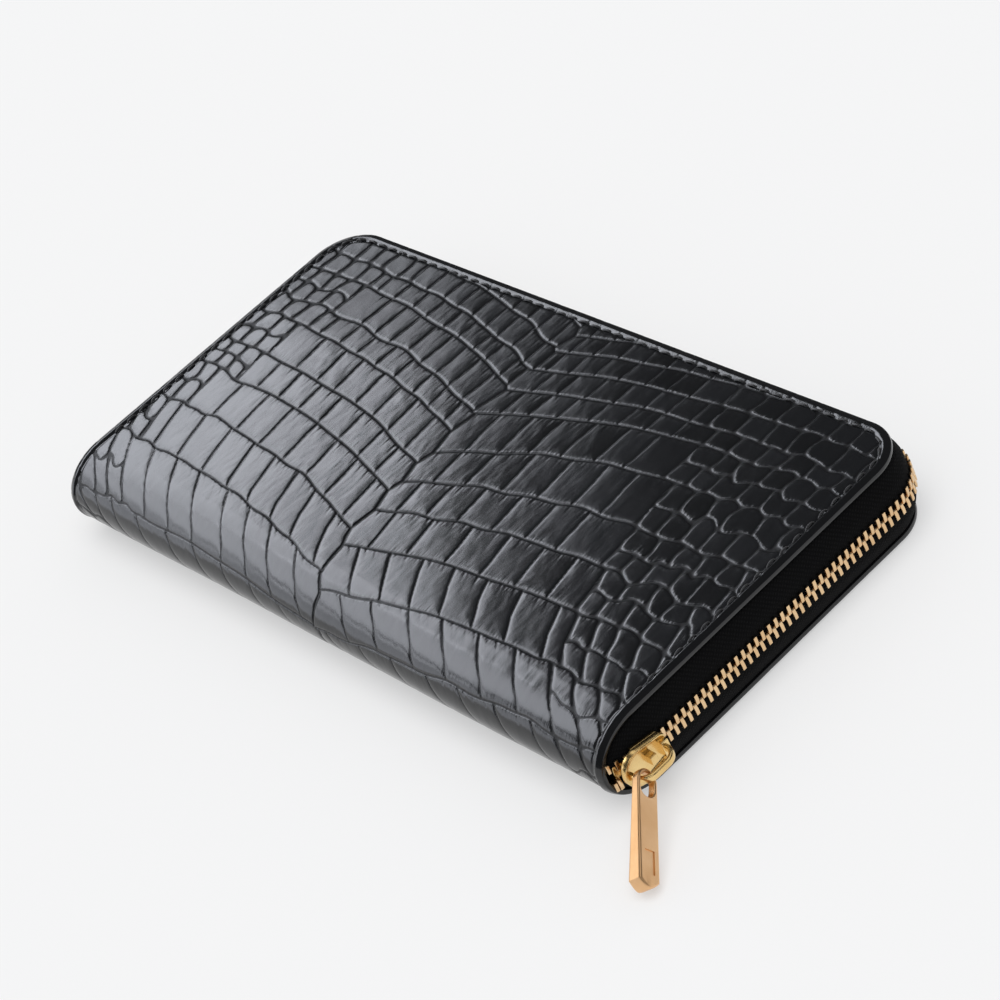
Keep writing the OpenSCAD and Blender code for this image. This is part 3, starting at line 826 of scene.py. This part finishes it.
def tooth_shape(scale, width):
    """One tooth: two legs that clamp the cord and a head with a rounded nose."""
    half = [(0.38, -0.75), (0.42, -2.3), (1, -2.3), (1, -0.9), (0.86, -0.3), (0.86, 0.2), (0.6, 0.45)]
    side_line = [(-a, b) for a, b in half[2::-1]] + half + [(-a, b) for a, b in half[:2:-1]]
    bm = bmesh.new()
    ends = []
    for w in (-width / 2, width / 2):
        ends.append([bm.verts.new((w, a * scale, b * scale)) for a, b in side_line])
    bm.faces.new(ends[0])
    bm.faces.new(ends[1][::-1])
    n = len(side_line)
    for i in range(n):
        j = (i + 1) % n
        bm.faces.new((ends[0][j], ends[0][i], ends[1][i], ends[1][j]))
    bmesh.ops.recalc_face_normals(bm, faces=bm.faces)
    edges = [e for e in bm.edges if e.calc_face_angle(0) > 0.6]
    bmesh.ops.bevel(bm, geom=edges, offset=0.13 * scale, segments=2, affect="EDGES", profile=0.5)
    points = np.array([v.co[:] for v in bm.verts])
    faces = [[v.index for v in f.verts] for f in bm.faces]
    bm.free()
    return points, faces


def teeth_mesh(name, places, scale=1.0, width=0.9):
    """Copies of the tooth: each place is a point with its path, outward and row directions."""
    shape, shape_faces = tooth_shape(scale, width)
    points, faces = [], []
    for i, (p, along, out, up) in enumerate(places):
        axes = np.array([along, out, up], float)
        base = len(shape) * i
        points.append(np.asarray(p) + shape @ axes)
        flip = np.linalg.det(axes) < 0
        faces += [[base + k for k in (f[::-1] if flip else f)] for f in shape_faces]
    return make_mesh(name, np.concatenate(points), faces, sharp=35)


def zip_teeth(side):
    """One row of the main zip's teeth."""
    count = int(edge_length(ZIP_BULGE, TEETH_START_Y) / TOOTH_PITCH) - 1
    shift = 0.75 if side > 0 else 0.25
    places = []
    for i in range(count):
        dist = (i + shift) * TOOTH_PITCH
        x, y, turn, drop = zip_place(dist, TEETH_START_Y)
        z = mirrored(MID_Z - drop, side)
        along = (math.cos(turn), math.sin(turn), 0)
        out = (math.sin(turn), -math.cos(turn), 0)
        places.append(((x, y, z), along, out, (0, 0, -side)))
    cover = cover_of(side)
    name = cover + "_teeth_row"
    obj = add_object(name, teeth_mesh(name, places), TOOTH_GOLD)
    stand_for(obj, cover + "_zip_teeth", cover + "_cover")


# ---------------------------------------------------------------- interior

PANEL_EDGE_R = 1.0
# The gussets' fold line, and for each leaf its outer edge, its height near the fold and the
# height that it reaches at that edge
FOLD_X = 68.0
GUSSET_LEAVES = {"card": (88.0, 6.5, 3.85), "coin": (84.0, 7.5, 8.15)}


def thin_sheet(name, x, y, heights, across, material, flip=False):
    """Closed thin leather sheet between two heights over a grid of places."""
    top, low = (np.stack([x, y, z, across / 100, y / 100], axis=-1) for z in heights)
    mesh = make_mesh(name, *shell(top, low, 0, flip, coarse=(1, 1), rings=1), sharp=60)
    return add_object(name, mesh, material)


def soft_ends(low, high, count):
    """Places from low to high, close together where a rounded edge needs them."""
    edge = np.array([0, 0.12, 0.35, 0.7]) * PANEL_EDGE_R
    middle = np.linspace(low + PANEL_EDGE_R * 1.2, high - PANEL_EDGE_R * 1.2, count)
    return np.concatenate([low + edge, middle, high - edge[::-1]])


def panel(name, node, body, puff, crease=2.2):
    """Soft leather panel in a CAD node's box: rounded edges, a pressed crease, a slight puff."""
    (x0, x1), (y0, y1), (z0, z1) = spans(node)
    xs = soft_ends(x0, x1, max(8, int((x1 - x0) / 1.6)))
    ys = soft_ends(y0, y1, max(8, int((y1 - y0) / 1.2)))
    x, y = np.meshgrid(xs, ys)
    edge = np.minimum(np.minimum(x - x0, x1 - x), np.minimum(y - y0, y1 - y))
    t = np.clip(edge / PANEL_EDGE_R, 0, 1)
    half = (z1 - z0) / 2 * (0.15 + 0.85 * np.sqrt(1 - (1 - t) ** 2))
    dent = 0.3 * (z1 - z0) * np.exp(-(((edge - crease) / 0.35) ** 2))
    mid = (z0 + z1) / 2 + puff * wobble(x, y, 34, len(name)) * t
    obj = thin_sheet(name, x, y, (mid + half - dent, mid - half + dent), x, POCKET)
    stand_for(obj, node, body)


def straight_stitches(name, start, end, up, body):
    """Row of stitches from one point to another."""
    pitch = 3.2
    start, end = np.array(start, float), np.array(end, float)
    total = np.linalg.norm(end - start)
    along = (end - start) / total
    count = max(1, int(total / pitch))
    places = [(start + along * pitch * (i + 0.5), along, up) for i in range(count)]
    return stitches(name, places, 2.5, 0.2, body, lift=0.02)


def card_pockets(side):
    """Backing panel and stepped pockets of one cover, sewn down their middle and sides."""
    cover = cover_of(side)
    body = cover + "_cover"
    panel(cover + "_card_panel", cover + "_card_base", body, puff=0.02)
    face = -side
    for number in range(1, 5):
        node = f"{cover}_card_pocket_{number}"
        panel(f"{cover}_card_slot_{number}", node, body, puff=0.02, crease=1.6)
        (x0, x1), (y0, y1), (z0, z1) = spans(node)
        next_y = y1 - 11
        z = (z1 if side < 0 else z0) + face * 0.02
        for tag, x in (("left", x0 + 1.6), ("middle", 0), ("right", x1 - 1.6)):
            name = f"{cover}_card_seam_{tag}_{number}"
            low_y = next_y + 0.5 if number < 4 else y0 + 2
            straight_stitches(name, (x, low_y, z), (x, y1 - 1.0, z), (0, 0, face), body)


def gusset_leaves(side, hand):
    """The two leaves of a folded gusset, each a thin sheet baked in its rest place."""
    cover = cover_of(side)
    tag = "right" if hand > 0 else "left"
    node = f"{cover}_gusset_{tag}"
    y0, y1 = spans(node)[1]
    for leaf, (edge_x, z, reach) in GUSSET_LEAVES.items():
        name = f"{cover}_gusset_{tag}_{leaf}_leaf"
        width = edge_x - FOLD_X
        u = np.concatenate([[0, 0.2, 0.5], np.linspace(1, width - 0.6, 22), [width - 0.2, width]])
        uu, vv = np.meshgrid(u, np.linspace(y0, y1, 36))
        middle = 7.0 + (z - 7.0) * np.sqrt(np.clip(uu / 3, 0, 1))
        middle = middle + 0.05 * wobble(uu, vv, 14, 3)
        middle = middle + (reach - z) * smooth(uu, width - 2.5, width)
        half = 0.18 * np.sqrt(np.clip(np.minimum(uu + 0.05, width - uu + 0.05) / 0.5, 0, 1))
        heights = [mirrored(z, side) for z in (middle + half, middle - half)]
        flip = (hand < 0) != (side > 0)
        obj = thin_sheet(name, hand * (FOLD_X + uu), vv, heights, uu, LINING, flip)
        cover_x, spine_x = 2 * FOLD_X - edge_x, edge_x
        if leaf == "card":
            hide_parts(node)
            cover_x, spine_x = spine_x, cover_x
        if side > 0:
            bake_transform(obj)
        else:
            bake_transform(obj)


def coin_pocket():
    """Central pocket: two sewn walls, a bound edge and its zip's tapes and teeth."""
    for which, up in (("lower", -1), ("upper", 1)):
        node = f"coin_pocket_{which}_wall"
        panel(f"coin_{which}_panel", node, "spine", puff=0.03)
        (x0, x1), (y0, y1), (z0, z1) = spans(node)
        z = z1 if up > 0 else z0
        for tag, start, end in (
            ("left", (x0 + 2.2, y0 + 2, z), (x0 + 2.2, y1 - 1.5, z)),
            ("right", (x1 - 2.2, y0 + 2, z), (x1 - 2.2, y1 - 1.5, z)),
            ("mouth", (x0 + 3, y1 - 2.2, z), (x1 - 3, y1 - 2.2, z)),
        ):
            straight_stitches(f"coin_{which}_seam_{tag}", start, end, (0, 0, up), "spine")
    bevelled("coin_pocket_binding", "coin_binding_leather", 0.25, POCKET, "spine")
    bevelled("coin_zip_tapes", "coin_woven_tapes", 0.12, COIN_TAPE, "spine", 2)
    coin_teeth()


def coin_teeth():
    """Both rows of the coin zip's smaller teeth, parted in front of its slider."""
    pitch, scale, end_x, chain_y = 1.6, 0.7, 79, 28.2
    parted_x, parting = -68, 3.4
    places = []
    for side, shift in ((-1, 0.6), (1, 1.1)):
        for i in range(int(2 * end_x / pitch) - 1):
            x = -end_x + (i + shift) * pitch
            drop = ROW_SPREAD * scale * min(1, max(0, (parted_x - x) / parting))
            place = (x, chain_y, mirrored(MID_Z - drop, side))
            places.append((place, (1, 0, 0), (0, 1, 0), (0, 0, -side)))
    mesh = teeth_mesh("coin_teeth_rows", places, scale, 0.7)
    obj = add_object("coin_teeth_rows", mesh, TOOTH_GOLD)
    stand_for(obj, "coin_zip_teeth", "spine")


# ---------------------------------------------------------------- sliders and tabs

# Ends of the slider along its chain, with half its width there
SLIDER_TAIL = (5.6, 3.2)
SLIDER_NOSE = (-2.0, 4.4)
TAB_LENGTH, TAB_HALF, TAB_SOFT = 26.0, 2.7, 0.42
TAB_TIP, TAB_SLOT_R, TAB_SLOT_END = 1.7, 1.8, 4.3
# Where the tab hangs in the bail, and the turns that lean it on the table
TAB_PIVOT = (104.318, -44.448)
TAB_TURNS = ((-51.5, "Z"), (18.8, "Y"), (-64, "X"))


def slider_outline():
    """Outline of the slider's plates in (along, across): a round nose and a straight mouth."""
    tail_x, tail_half = SLIDER_TAIL
    nose_x, nose_half = SLIDER_NOSE
    turn = np.radians(np.linspace(90, 270, 33))
    nose = np.stack([nose_x + nose_half * np.cos(turn), nose_half * np.sin(turn)], axis=-1)
    cut = 0.8
    mouth = [(tail_x - cut, -tail_half), (tail_x, -tail_half + cut)]
    mouth += [(tail_x, tail_half - cut), (tail_x - cut, tail_half)]
    return np.concatenate([nose, mouth])


def slider_dish():
    """The slider's outer plate: a raised rim round a shallow dish."""
    profile = [(0.03, 1.25), (0.0, 1.4), (0.0, 2.42), (0.02, 2.6), (0.055, 2.71), (0.1, 2.73),
               (0.15, 2.66), (0.2, 2.45), (0.28, 2.24), (0.45, 2.1), (0.75, 2.03)]
    corners = slider_outline()
    line = []
    for p, q in zip(corners, np.roll(corners, -1, axis=0)):
        parts = max(1, int(np.hypot(*(q - p)) / 0.4))
        line += [p + (q - p) * k / parts for k in range(parts)]
    line = np.array(line)
    along = np.clip(line[:, 0], SLIDER_NOSE[0], SLIDER_TAIL[0] - 2.6)
    axis = np.stack([along, 0 * along], axis=-1)
    rings = []
    for share, out in profile:
        flat = line + (axis - line) * share
        x = np.full(len(line), CHAIN_X + out)
        rings.append(np.column_stack([x, SLIDER_Y + flat[:, 0], MID_Z + flat[:, 1]]))
    faces = ring_faces(len(rings), len(line))
    mesh = make_mesh("slider_dish", np.concatenate(rings), faces, sharp=28)
    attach(add_object("slider_dish", mesh, SLIDER_GOLD), "slider")


def add_slab(bm, outline, low, high):
    """Adds a slab of this outline (along, across) between two heights outward."""
    ends = []
    for out in (low, high):
        corners = [(CHAIN_X + out, SLIDER_Y + along, MID_Z + across) for along, across in outline]
        ends.append([bm.verts.new(corner) for corner in corners])
    bm.faces.new(ends[0][::-1])
    bm.faces.new(ends[1])
    for i in range(len(outline)):
        j = (i + 1) % len(outline)
        bm.faces.new((ends[0][i], ends[0][j], ends[1][j], ends[1][i]))


def box_outline(middle, length, half):
    """Rectangle across the slider's middle line."""
    near, far = middle - length / 2, middle + length / 2
    return [(near, -half), (far, -half), (far, half), (near, half)]


def slider_block():
    """The slider's inner plate, neck and flanges, and the two box lugs that stand on its dish."""
    gap, top, flange_gap, flange_t = 1.25, 2.35, 0.5, 0.5
    tail_x, tail_half = SLIDER_TAIL
    nose_x, nose_half = SLIDER_NOSE
    bm = bmesh.new()
    add_slab(bm, slider_outline(), -top, -gap)
    add_slab(bm, [(-5.2, 0), (-3.7, -0.8), (-2.2, 0), (-3.7, 0.8)], -gap - 0.1, gap + 0.1)
    for side in (-1, 1):
        inner = [(tail_x - 0.8, side * (tail_half - flange_t)), (nose_x, side * (nose_half - flange_t))]
        wall = inner + [(nose_x, side * nose_half), (tail_x - 0.8, side * tail_half)]
        add_slab(bm, wall, flange_gap, gap + 0.1)
        add_slab(bm, wall, -gap - 0.1, -flange_gap)
    add_slab(bm, box_outline(0.8, 1.7, 1.1), 1.9, 3.75)
    add_slab(bm, box_outline(4.4, 1.8, 2.0), 1.9, 3.85)
    bmesh.ops.recalc_face_normals(bm, faces=bm.faces)
    sharp = [e for e in bm.edges if e.calc_face_angle(0) > math.radians(32)]
    bmesh.ops.bevel(
        bm, geom=sharp, offset=0.16, segments=3, profile=0.5, affect="EDGES", clamp_overlap=True
    )
    bmesh.ops.scale(bm, vec=(MM, MM, MM), verts=bm.verts)
    mesh = bpy.data.meshes.new("slider_casting")
    bm.to_mesh(mesh)
    bm.free()
    mesh.shade_smooth()
    obj = add_object("slider_casting", mesh, SLIDER_GOLD)
    obj.modifiers.new("flat_faces", "WEIGHTED_NORMAL")
    finish_modifiers(obj)
    stand_for(obj, "slider_body", "slider")


def closed_spline(curve, line):
    """Adds a closed line of flat points to a curve."""
    spline = curve.splines.new("POLY")
    spline.points.add(len(line) - 1)
    for point, (x, y) in zip(spline.points, line):
        point.co = (x, y, 0, 1)
    spline.use_cyclic_u = True


def tab_blank():
    """Mesh of the tab lying flat: a round end with a slot, soft edges and a blunt point."""
    back = np.radians(np.linspace(90, 270, 25))
    outline = [(TAB_HALF + TAB_HALF * math.cos(a), TAB_HALF * math.sin(a)) for a in back]
    across = np.linspace(-1, 1, 25)
    outline += [(TAB_LENGTH - TAB_TIP * abs(a) ** 1.5, TAB_HALF * a) for a in across]
    front = np.radians(np.linspace(-90, 90, 21))
    slot = [(TAB_SLOT_END + TAB_SLOT_R * math.cos(a), TAB_SLOT_R * math.sin(a)) for a in front]
    slot += [(TAB_HALF - TAB_SLOT_R * math.cos(a), -TAB_SLOT_R * math.sin(a)) for a in front]
    curve = bpy.data.curves.new("pull_tab_casting", "CURVE")
    curve.dimensions = "2D"
    curve.fill_mode = "BOTH"
    closed_spline(curve, outline)
    closed_spline(curve, slot)
    curve.extrude = 1 - TAB_SOFT
    curve.bevel_depth = TAB_SOFT
    curve.offset = -TAB_SOFT
    curve.bevel_resolution = 4
    shape = place_object("pull_tab_shape", curve)
    bpy.context.view_layer.update()
    graph = bpy.context.evaluated_depsgraph_get()
    mesh = bpy.data.meshes.new_from_object(shape.evaluated_get(graph))
    bpy.data.objects.remove(shape)
    bm = bmesh.new()
    bm.from_mesh(mesh)
    bmesh.ops.remove_doubles(bm, verts=bm.verts, dist=1e-3)
    bmesh.ops.recalc_face_normals(bm, faces=bm.faces)
    bm.to_mesh(mesh)
    bm.free()
    return mesh


def panel_cutter():
    """Two blocks that sink a blank panel into both faces of the flat tab."""
    panel_x, size = 20.4, (5.2, 2.6, 2.3)
    mesh = bpy.data.meshes.new("panel_cutter")
    bm = bmesh.new()
    for z in (-2, 2):
        place = Matrix.Translation((panel_x, 0, z)) @ Matrix.Diagonal((*size, 1))
        bmesh.ops.create_cube(bm, size=1, matrix=place)
    bm.to_mesh(mesh)
    bm.free()
    return place_object("panel_cutter", mesh)


def pull_tab():
    """Wedge shaped tab that hangs in the bail, with a blank sunk panel near its point."""
    blank = tab_blank()
    cutter = panel_cutter()
    obj = add_object("pull_tab_casting", blank, TAB_GOLD)
    carve = obj.modifiers.new("panel", "BOOLEAN")
    carve.operation = "DIFFERENCE"
    carve.object = cutter
    finish_modifiers(obj)
    bpy.data.objects.remove(cutter)
    place = Matrix.Translation((*TAB_PIVOT, MID_Z))
    for angle, axis in TAB_TURNS:
        place = place @ Matrix.Rotation(math.radians(angle), 4, axis)
    place = place @ Matrix.Translation((-2.2, 0, 0))
    for vertex in obj.data.vertices:
        vertex.co.z *= 0.8 + 1.1 * vertex.co.x / TAB_LENGTH
        vertex.co = (place @ vertex.co) * MM
    obj.data.shade_smooth()
    obj.data.set_sharp_from_angle(angle=math.radians(40))
    obj.modifiers.new("flat_faces", "WEIGHTED_NORMAL").keep_sharp = True
    finish_modifiers(obj)
    stand_for(obj, "pull_tab", "pull_tab")


def squared_off(a):
    """Sine or cosine of a rounded square section."""
    return np.sign(a) * np.abs(a) ** 0.65


def slider_bail():
    """Flattened wire arch over the slider, which the pull tab hangs from."""
    bend_r, crown, front, rear = 3.0, PLATE_TOP + 4.5, -4.9, 4.4
    turn = np.radians(np.linspace(0, 90, 13))
    rise, run = bend_r * np.sin(turn), bend_r * np.cos(turn)
    line = [(front, PLATE_TOP - 0.1)]
    line += [(front + bend_r - a, crown - bend_r + b) for a, b in zip(run, rise)]
    line += [(rear - bend_r + b, crown - bend_r + a) for a, b in zip(run, rise)]
    line += [(rear, PLATE_TOP + 1.2)]
    line = np.array(line)
    around = 2 * math.pi * np.arange(20) / 20
    radial = 0.6 * squared_off(np.cos(around))
    wide = 0.9 * squared_off(np.sin(around))
    points = []
    for (along, out), (ta, to) in zip(line, unit_tangents(line)):
        x = CHAIN_X + out - radial * ta
        y = SLIDER_Y + along + radial * to
        points.append(np.stack([x, y, MID_Z + wide], axis=-1))
    faces = ring_faces(len(line), len(around))
    mesh = make_mesh("slider_bail_band", np.concatenate(points), faces, sharp=60)
    obj = add_object("slider_bail_band", mesh, SLIDER_GOLD)
    stand_for(obj, "slider_bail", "slider")


def metal_parts():
    """Sliders, bail, tabs and stops; the coin slider's pin stays as packed."""
    slider_block()
    slider_dish()
    slider_bail()
    pull_tab()
    for node, name, width, metal, slot, body in (
        ("coin_slider_body", "coin_slider_casting", 0.18, SLIDER_GOLD, "slider_metal", "coin_slider"),
        ("coin_pull_tab", "coin_tab_casting", 0.18, TAB_GOLD, "tab_metal", "coin_pull_tab"),
        ("coin_zip_stops", "coin_stop_clips", 0.15, TOOTH_GOLD, "zip_metal", "spine"),
    ):
        bevelled(node, name, width, metal, body)
    for cover in ("lower", "upper"):
        node, name = cover + "_zip_stops", cover + "_stop_clips"
        clips = bevelled(node, name, 0.15, TOOTH_GOLD, cover + "_cover")
        for vertex in clips.data.vertices:
            vertex.co.x -= math.copysign(recede(vertex.co.y / MM) * MM, vertex.co.x)


def cad_finishes():
    """Materials of the CAD nodes that stay as packed."""
    for name, material in (
        ("coin_slider_pin", SLIDER_GOLD),
        ("lower_stiffener", BOARD),
        ("upper_stiffener", BOARD),
        ("lower_filler", FOAM),
        ("upper_filler", FOAM),
    ):
        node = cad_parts[name]
        node.data.materials.clear()
        node.data.materials.append(material)


# ---------------------------------------------------------------- floor, lights, camera


def add_floor():
    """Plain pale floor under the wallet."""
    half, depth = 4.0, -0.0002
    mesh = bpy.data.meshes.new("floor")
    corners = [(-half, -half, depth), (half, -half, depth), (half, half, depth), (-half, half, depth)]
    mesh.from_pydata(corners, [], [(0, 1, 2, 3)])
    s = Shader("floor", "object", Roughness=1.0, Specular_IOR_Level=0.0)
    s.feed("Emission Strength", 0.46)
    s.feed("Emission Color", (1, 1, 1, 1))
    s.feed("Base Color", s.colours(s.noise(3.0), (0.43, 0.43, 0.43), (0.433, 0.433, 0.433)))
    mesh.materials.append(s.material)
    place_object("floor", mesh)


def add_softbox(name, azimuths, elevations, glow, colour, distance=1.3):
    """Softbox between two azimuths and two elevations in degrees; it only adds gloss."""
    a, a_half = math.radians(sum(azimuths) / 2), math.radians(azimuths[1] - azimuths[0]) / 2
    e, e_half = math.radians(sum(elevations) / 2), math.radians(elevations[1] - elevations[0]) / 2
    place = Vector((math.cos(a) * math.cos(e), math.sin(a) * math.cos(e), math.sin(e))) * distance
    light = bpy.data.lights.new(name, "AREA")
    light.shape = "RECTANGLE"
    light.size = 2 * distance * math.cos(e) * math.tan(a_half)
    light.size_y = 2 * distance * math.tan(e_half)
    light.energy = glow * math.pi * light.size * light.size_y
    light.color = colour
    obj = place_object(name, light)
    obj.location = place
    obj.rotation_euler = (-place).to_track_quat("-Z", "Y").to_euler()
    obj.visible_diffuse = False
    return obj


def flag_off(lights, pieces, state):
    """Keeps the lights off the pieces (EXCLUDE), or only on them (INCLUDE)."""
    group = bpy.data.collections.new("flagged_" + state.lower())
    for piece in pieces:
        group.objects.link(piece)
    for entry in group.collection_objects:
        entry.light_linking.link_state = state
    for light in lights:
        light.light_linking.receiver_collection = group


def add_overhead():
    """Even top light, which leaves no highlights."""
    sun = bpy.data.lights.new("overhead", "SUN")
    sun.energy = 1.45
    sun.angle = math.radians(55)
    obj = place_object("overhead", sun)
    obj.rotation_euler = (math.radians(8), math.radians(12), 0)
    obj.visible_glossy = False


def add_world():
    """Pale surroundings that fill the shadows and hardly show in the gloss."""
    world = bpy.data.worlds.new("studio")
    world.use_nodes = True
    tree = world.node_tree
    tree.nodes["Background"].inputs["Color"].default_value = (0.97, 0.98, 1.0, 1)
    path = tree.nodes.new("ShaderNodeLightPath")
    fill = tree.nodes.new("ShaderNodeMapRange")
    fill.inputs["To Min"].default_value = 0.07
    fill.inputs["To Max"].default_value = 0.625
    tree.links.new(path.outputs["Is Diffuse Ray"], fill.inputs["Value"])
    tree.links.new(fill.outputs["Result"], tree.nodes["Background"].inputs["Strength"])
    bpy.context.scene.world = world


def add_lights():
    """Overhead light, softboxes for the leather's sheen, and others for the tab and slider."""
    add_overhead()
    cool, warm = (0.89, 0.92, 1.0), (1.0, 0.97, 0.93)
    sheen = [
        add_softbox("sheen_left", (156, 190), (26, 37), 5.4, cool),
        add_softbox("sheen_middle", (156, 164), (37, 44), 4.4, cool),
        add_softbox("sheen_right", (164, 190), (37, 50), 5.4, cool),
        add_softbox("sheen_roll", (190, 228), (26, 50), 4.8, cool),
        add_softbox("sheen_side", (152, 156), (24, 35), 2.1, cool),
        add_softbox("sheen_edge", (148, 152), (22, 33), 0.5, cool),
        add_softbox("low_edge", (158, 226), (21, 26), 3.2, cool),
        add_softbox("low_box", (204, 240), (-3, 21), 2.1, cool, 1.4),
        add_softbox("spine_box", (-66, -34), (22, 36), 1.1, cool),
        add_softbox("end_box", (9, 33), (20, 34), 0.9, cool),
        add_softbox("far_box", (77, 99), (20, 34), 0.9, cool),
    ]
    add_softbox("metal_box", (-36, -4), (18, 42), 1.06, warm, 1.2)
    metal = [
        add_softbox("tab_box", (137, 228), (5, 50), 1.35, warm, 1.2),
        add_softbox("tab_top", (28, 152), (55, 89), 0.8, warm, 1.2),
    ]
    tab, *slider = (
        bpy.data.objects[name]
        for name in ("pull_tab_casting", "slider_casting", "slider_dish", "slider_bail_band")
    )
    flag_off(sheen, [tab], "EXCLUDE")
    flag_off(metal, [tab, *slider], "INCLUDE")
    add_world()


def add_camera():
    """Camera at the photograph's viewing angle, with its slight roll."""
    azimuth, elevation, roll = 64.05, 36.12, -26.13
    target, distance = (0, 0, 10), 758.5
    camera = bpy.data.cameras.new("camera")
    camera.lens = 121.4
    camera.sensor_width = 36
    camera.shift_x, camera.shift_y = 0.0294, -0.0098
    camera.clip_start = 0.01
    turn = Matrix.Identity(4)
    for angle, axis in ((azimuth, "Z"), (90 - elevation, "X"), (roll, "Z")):
        turn = turn @ Matrix.Rotation(math.radians(angle), 4, axis)
    place = (Vector(target) + turn.col[2].to_3d() * distance) * MM
    obj = place_object("camera", camera)
    obj.matrix_world = Matrix.Translation(place) @ turn
    bpy.context.scene.camera = obj
    bpy.context.scene.view_settings.view_transform = "Standard"


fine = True
upper_steps = (0.3, 0.3, 0.3) if fine else (0.8, 0.8, 0.8)
lower_steps = (0.4, 0.5, 0.32) if fine else (0.9, 1.2, 0.8)
outer_leather(1, *upper_steps)
outer_leather(-1, *lower_steps)
for half in (-1, 1):
    inner_lining(half)
    edge_stitching(half)
    zip_tape(half)
    zip_teeth(half)
    card_pockets(half)
    for hand in (-1, 1):
        gusset_leaves(half, hand)
coin_pocket()
metal_parts()
cad_finishes()
add_floor()
add_lights()
add_camera()
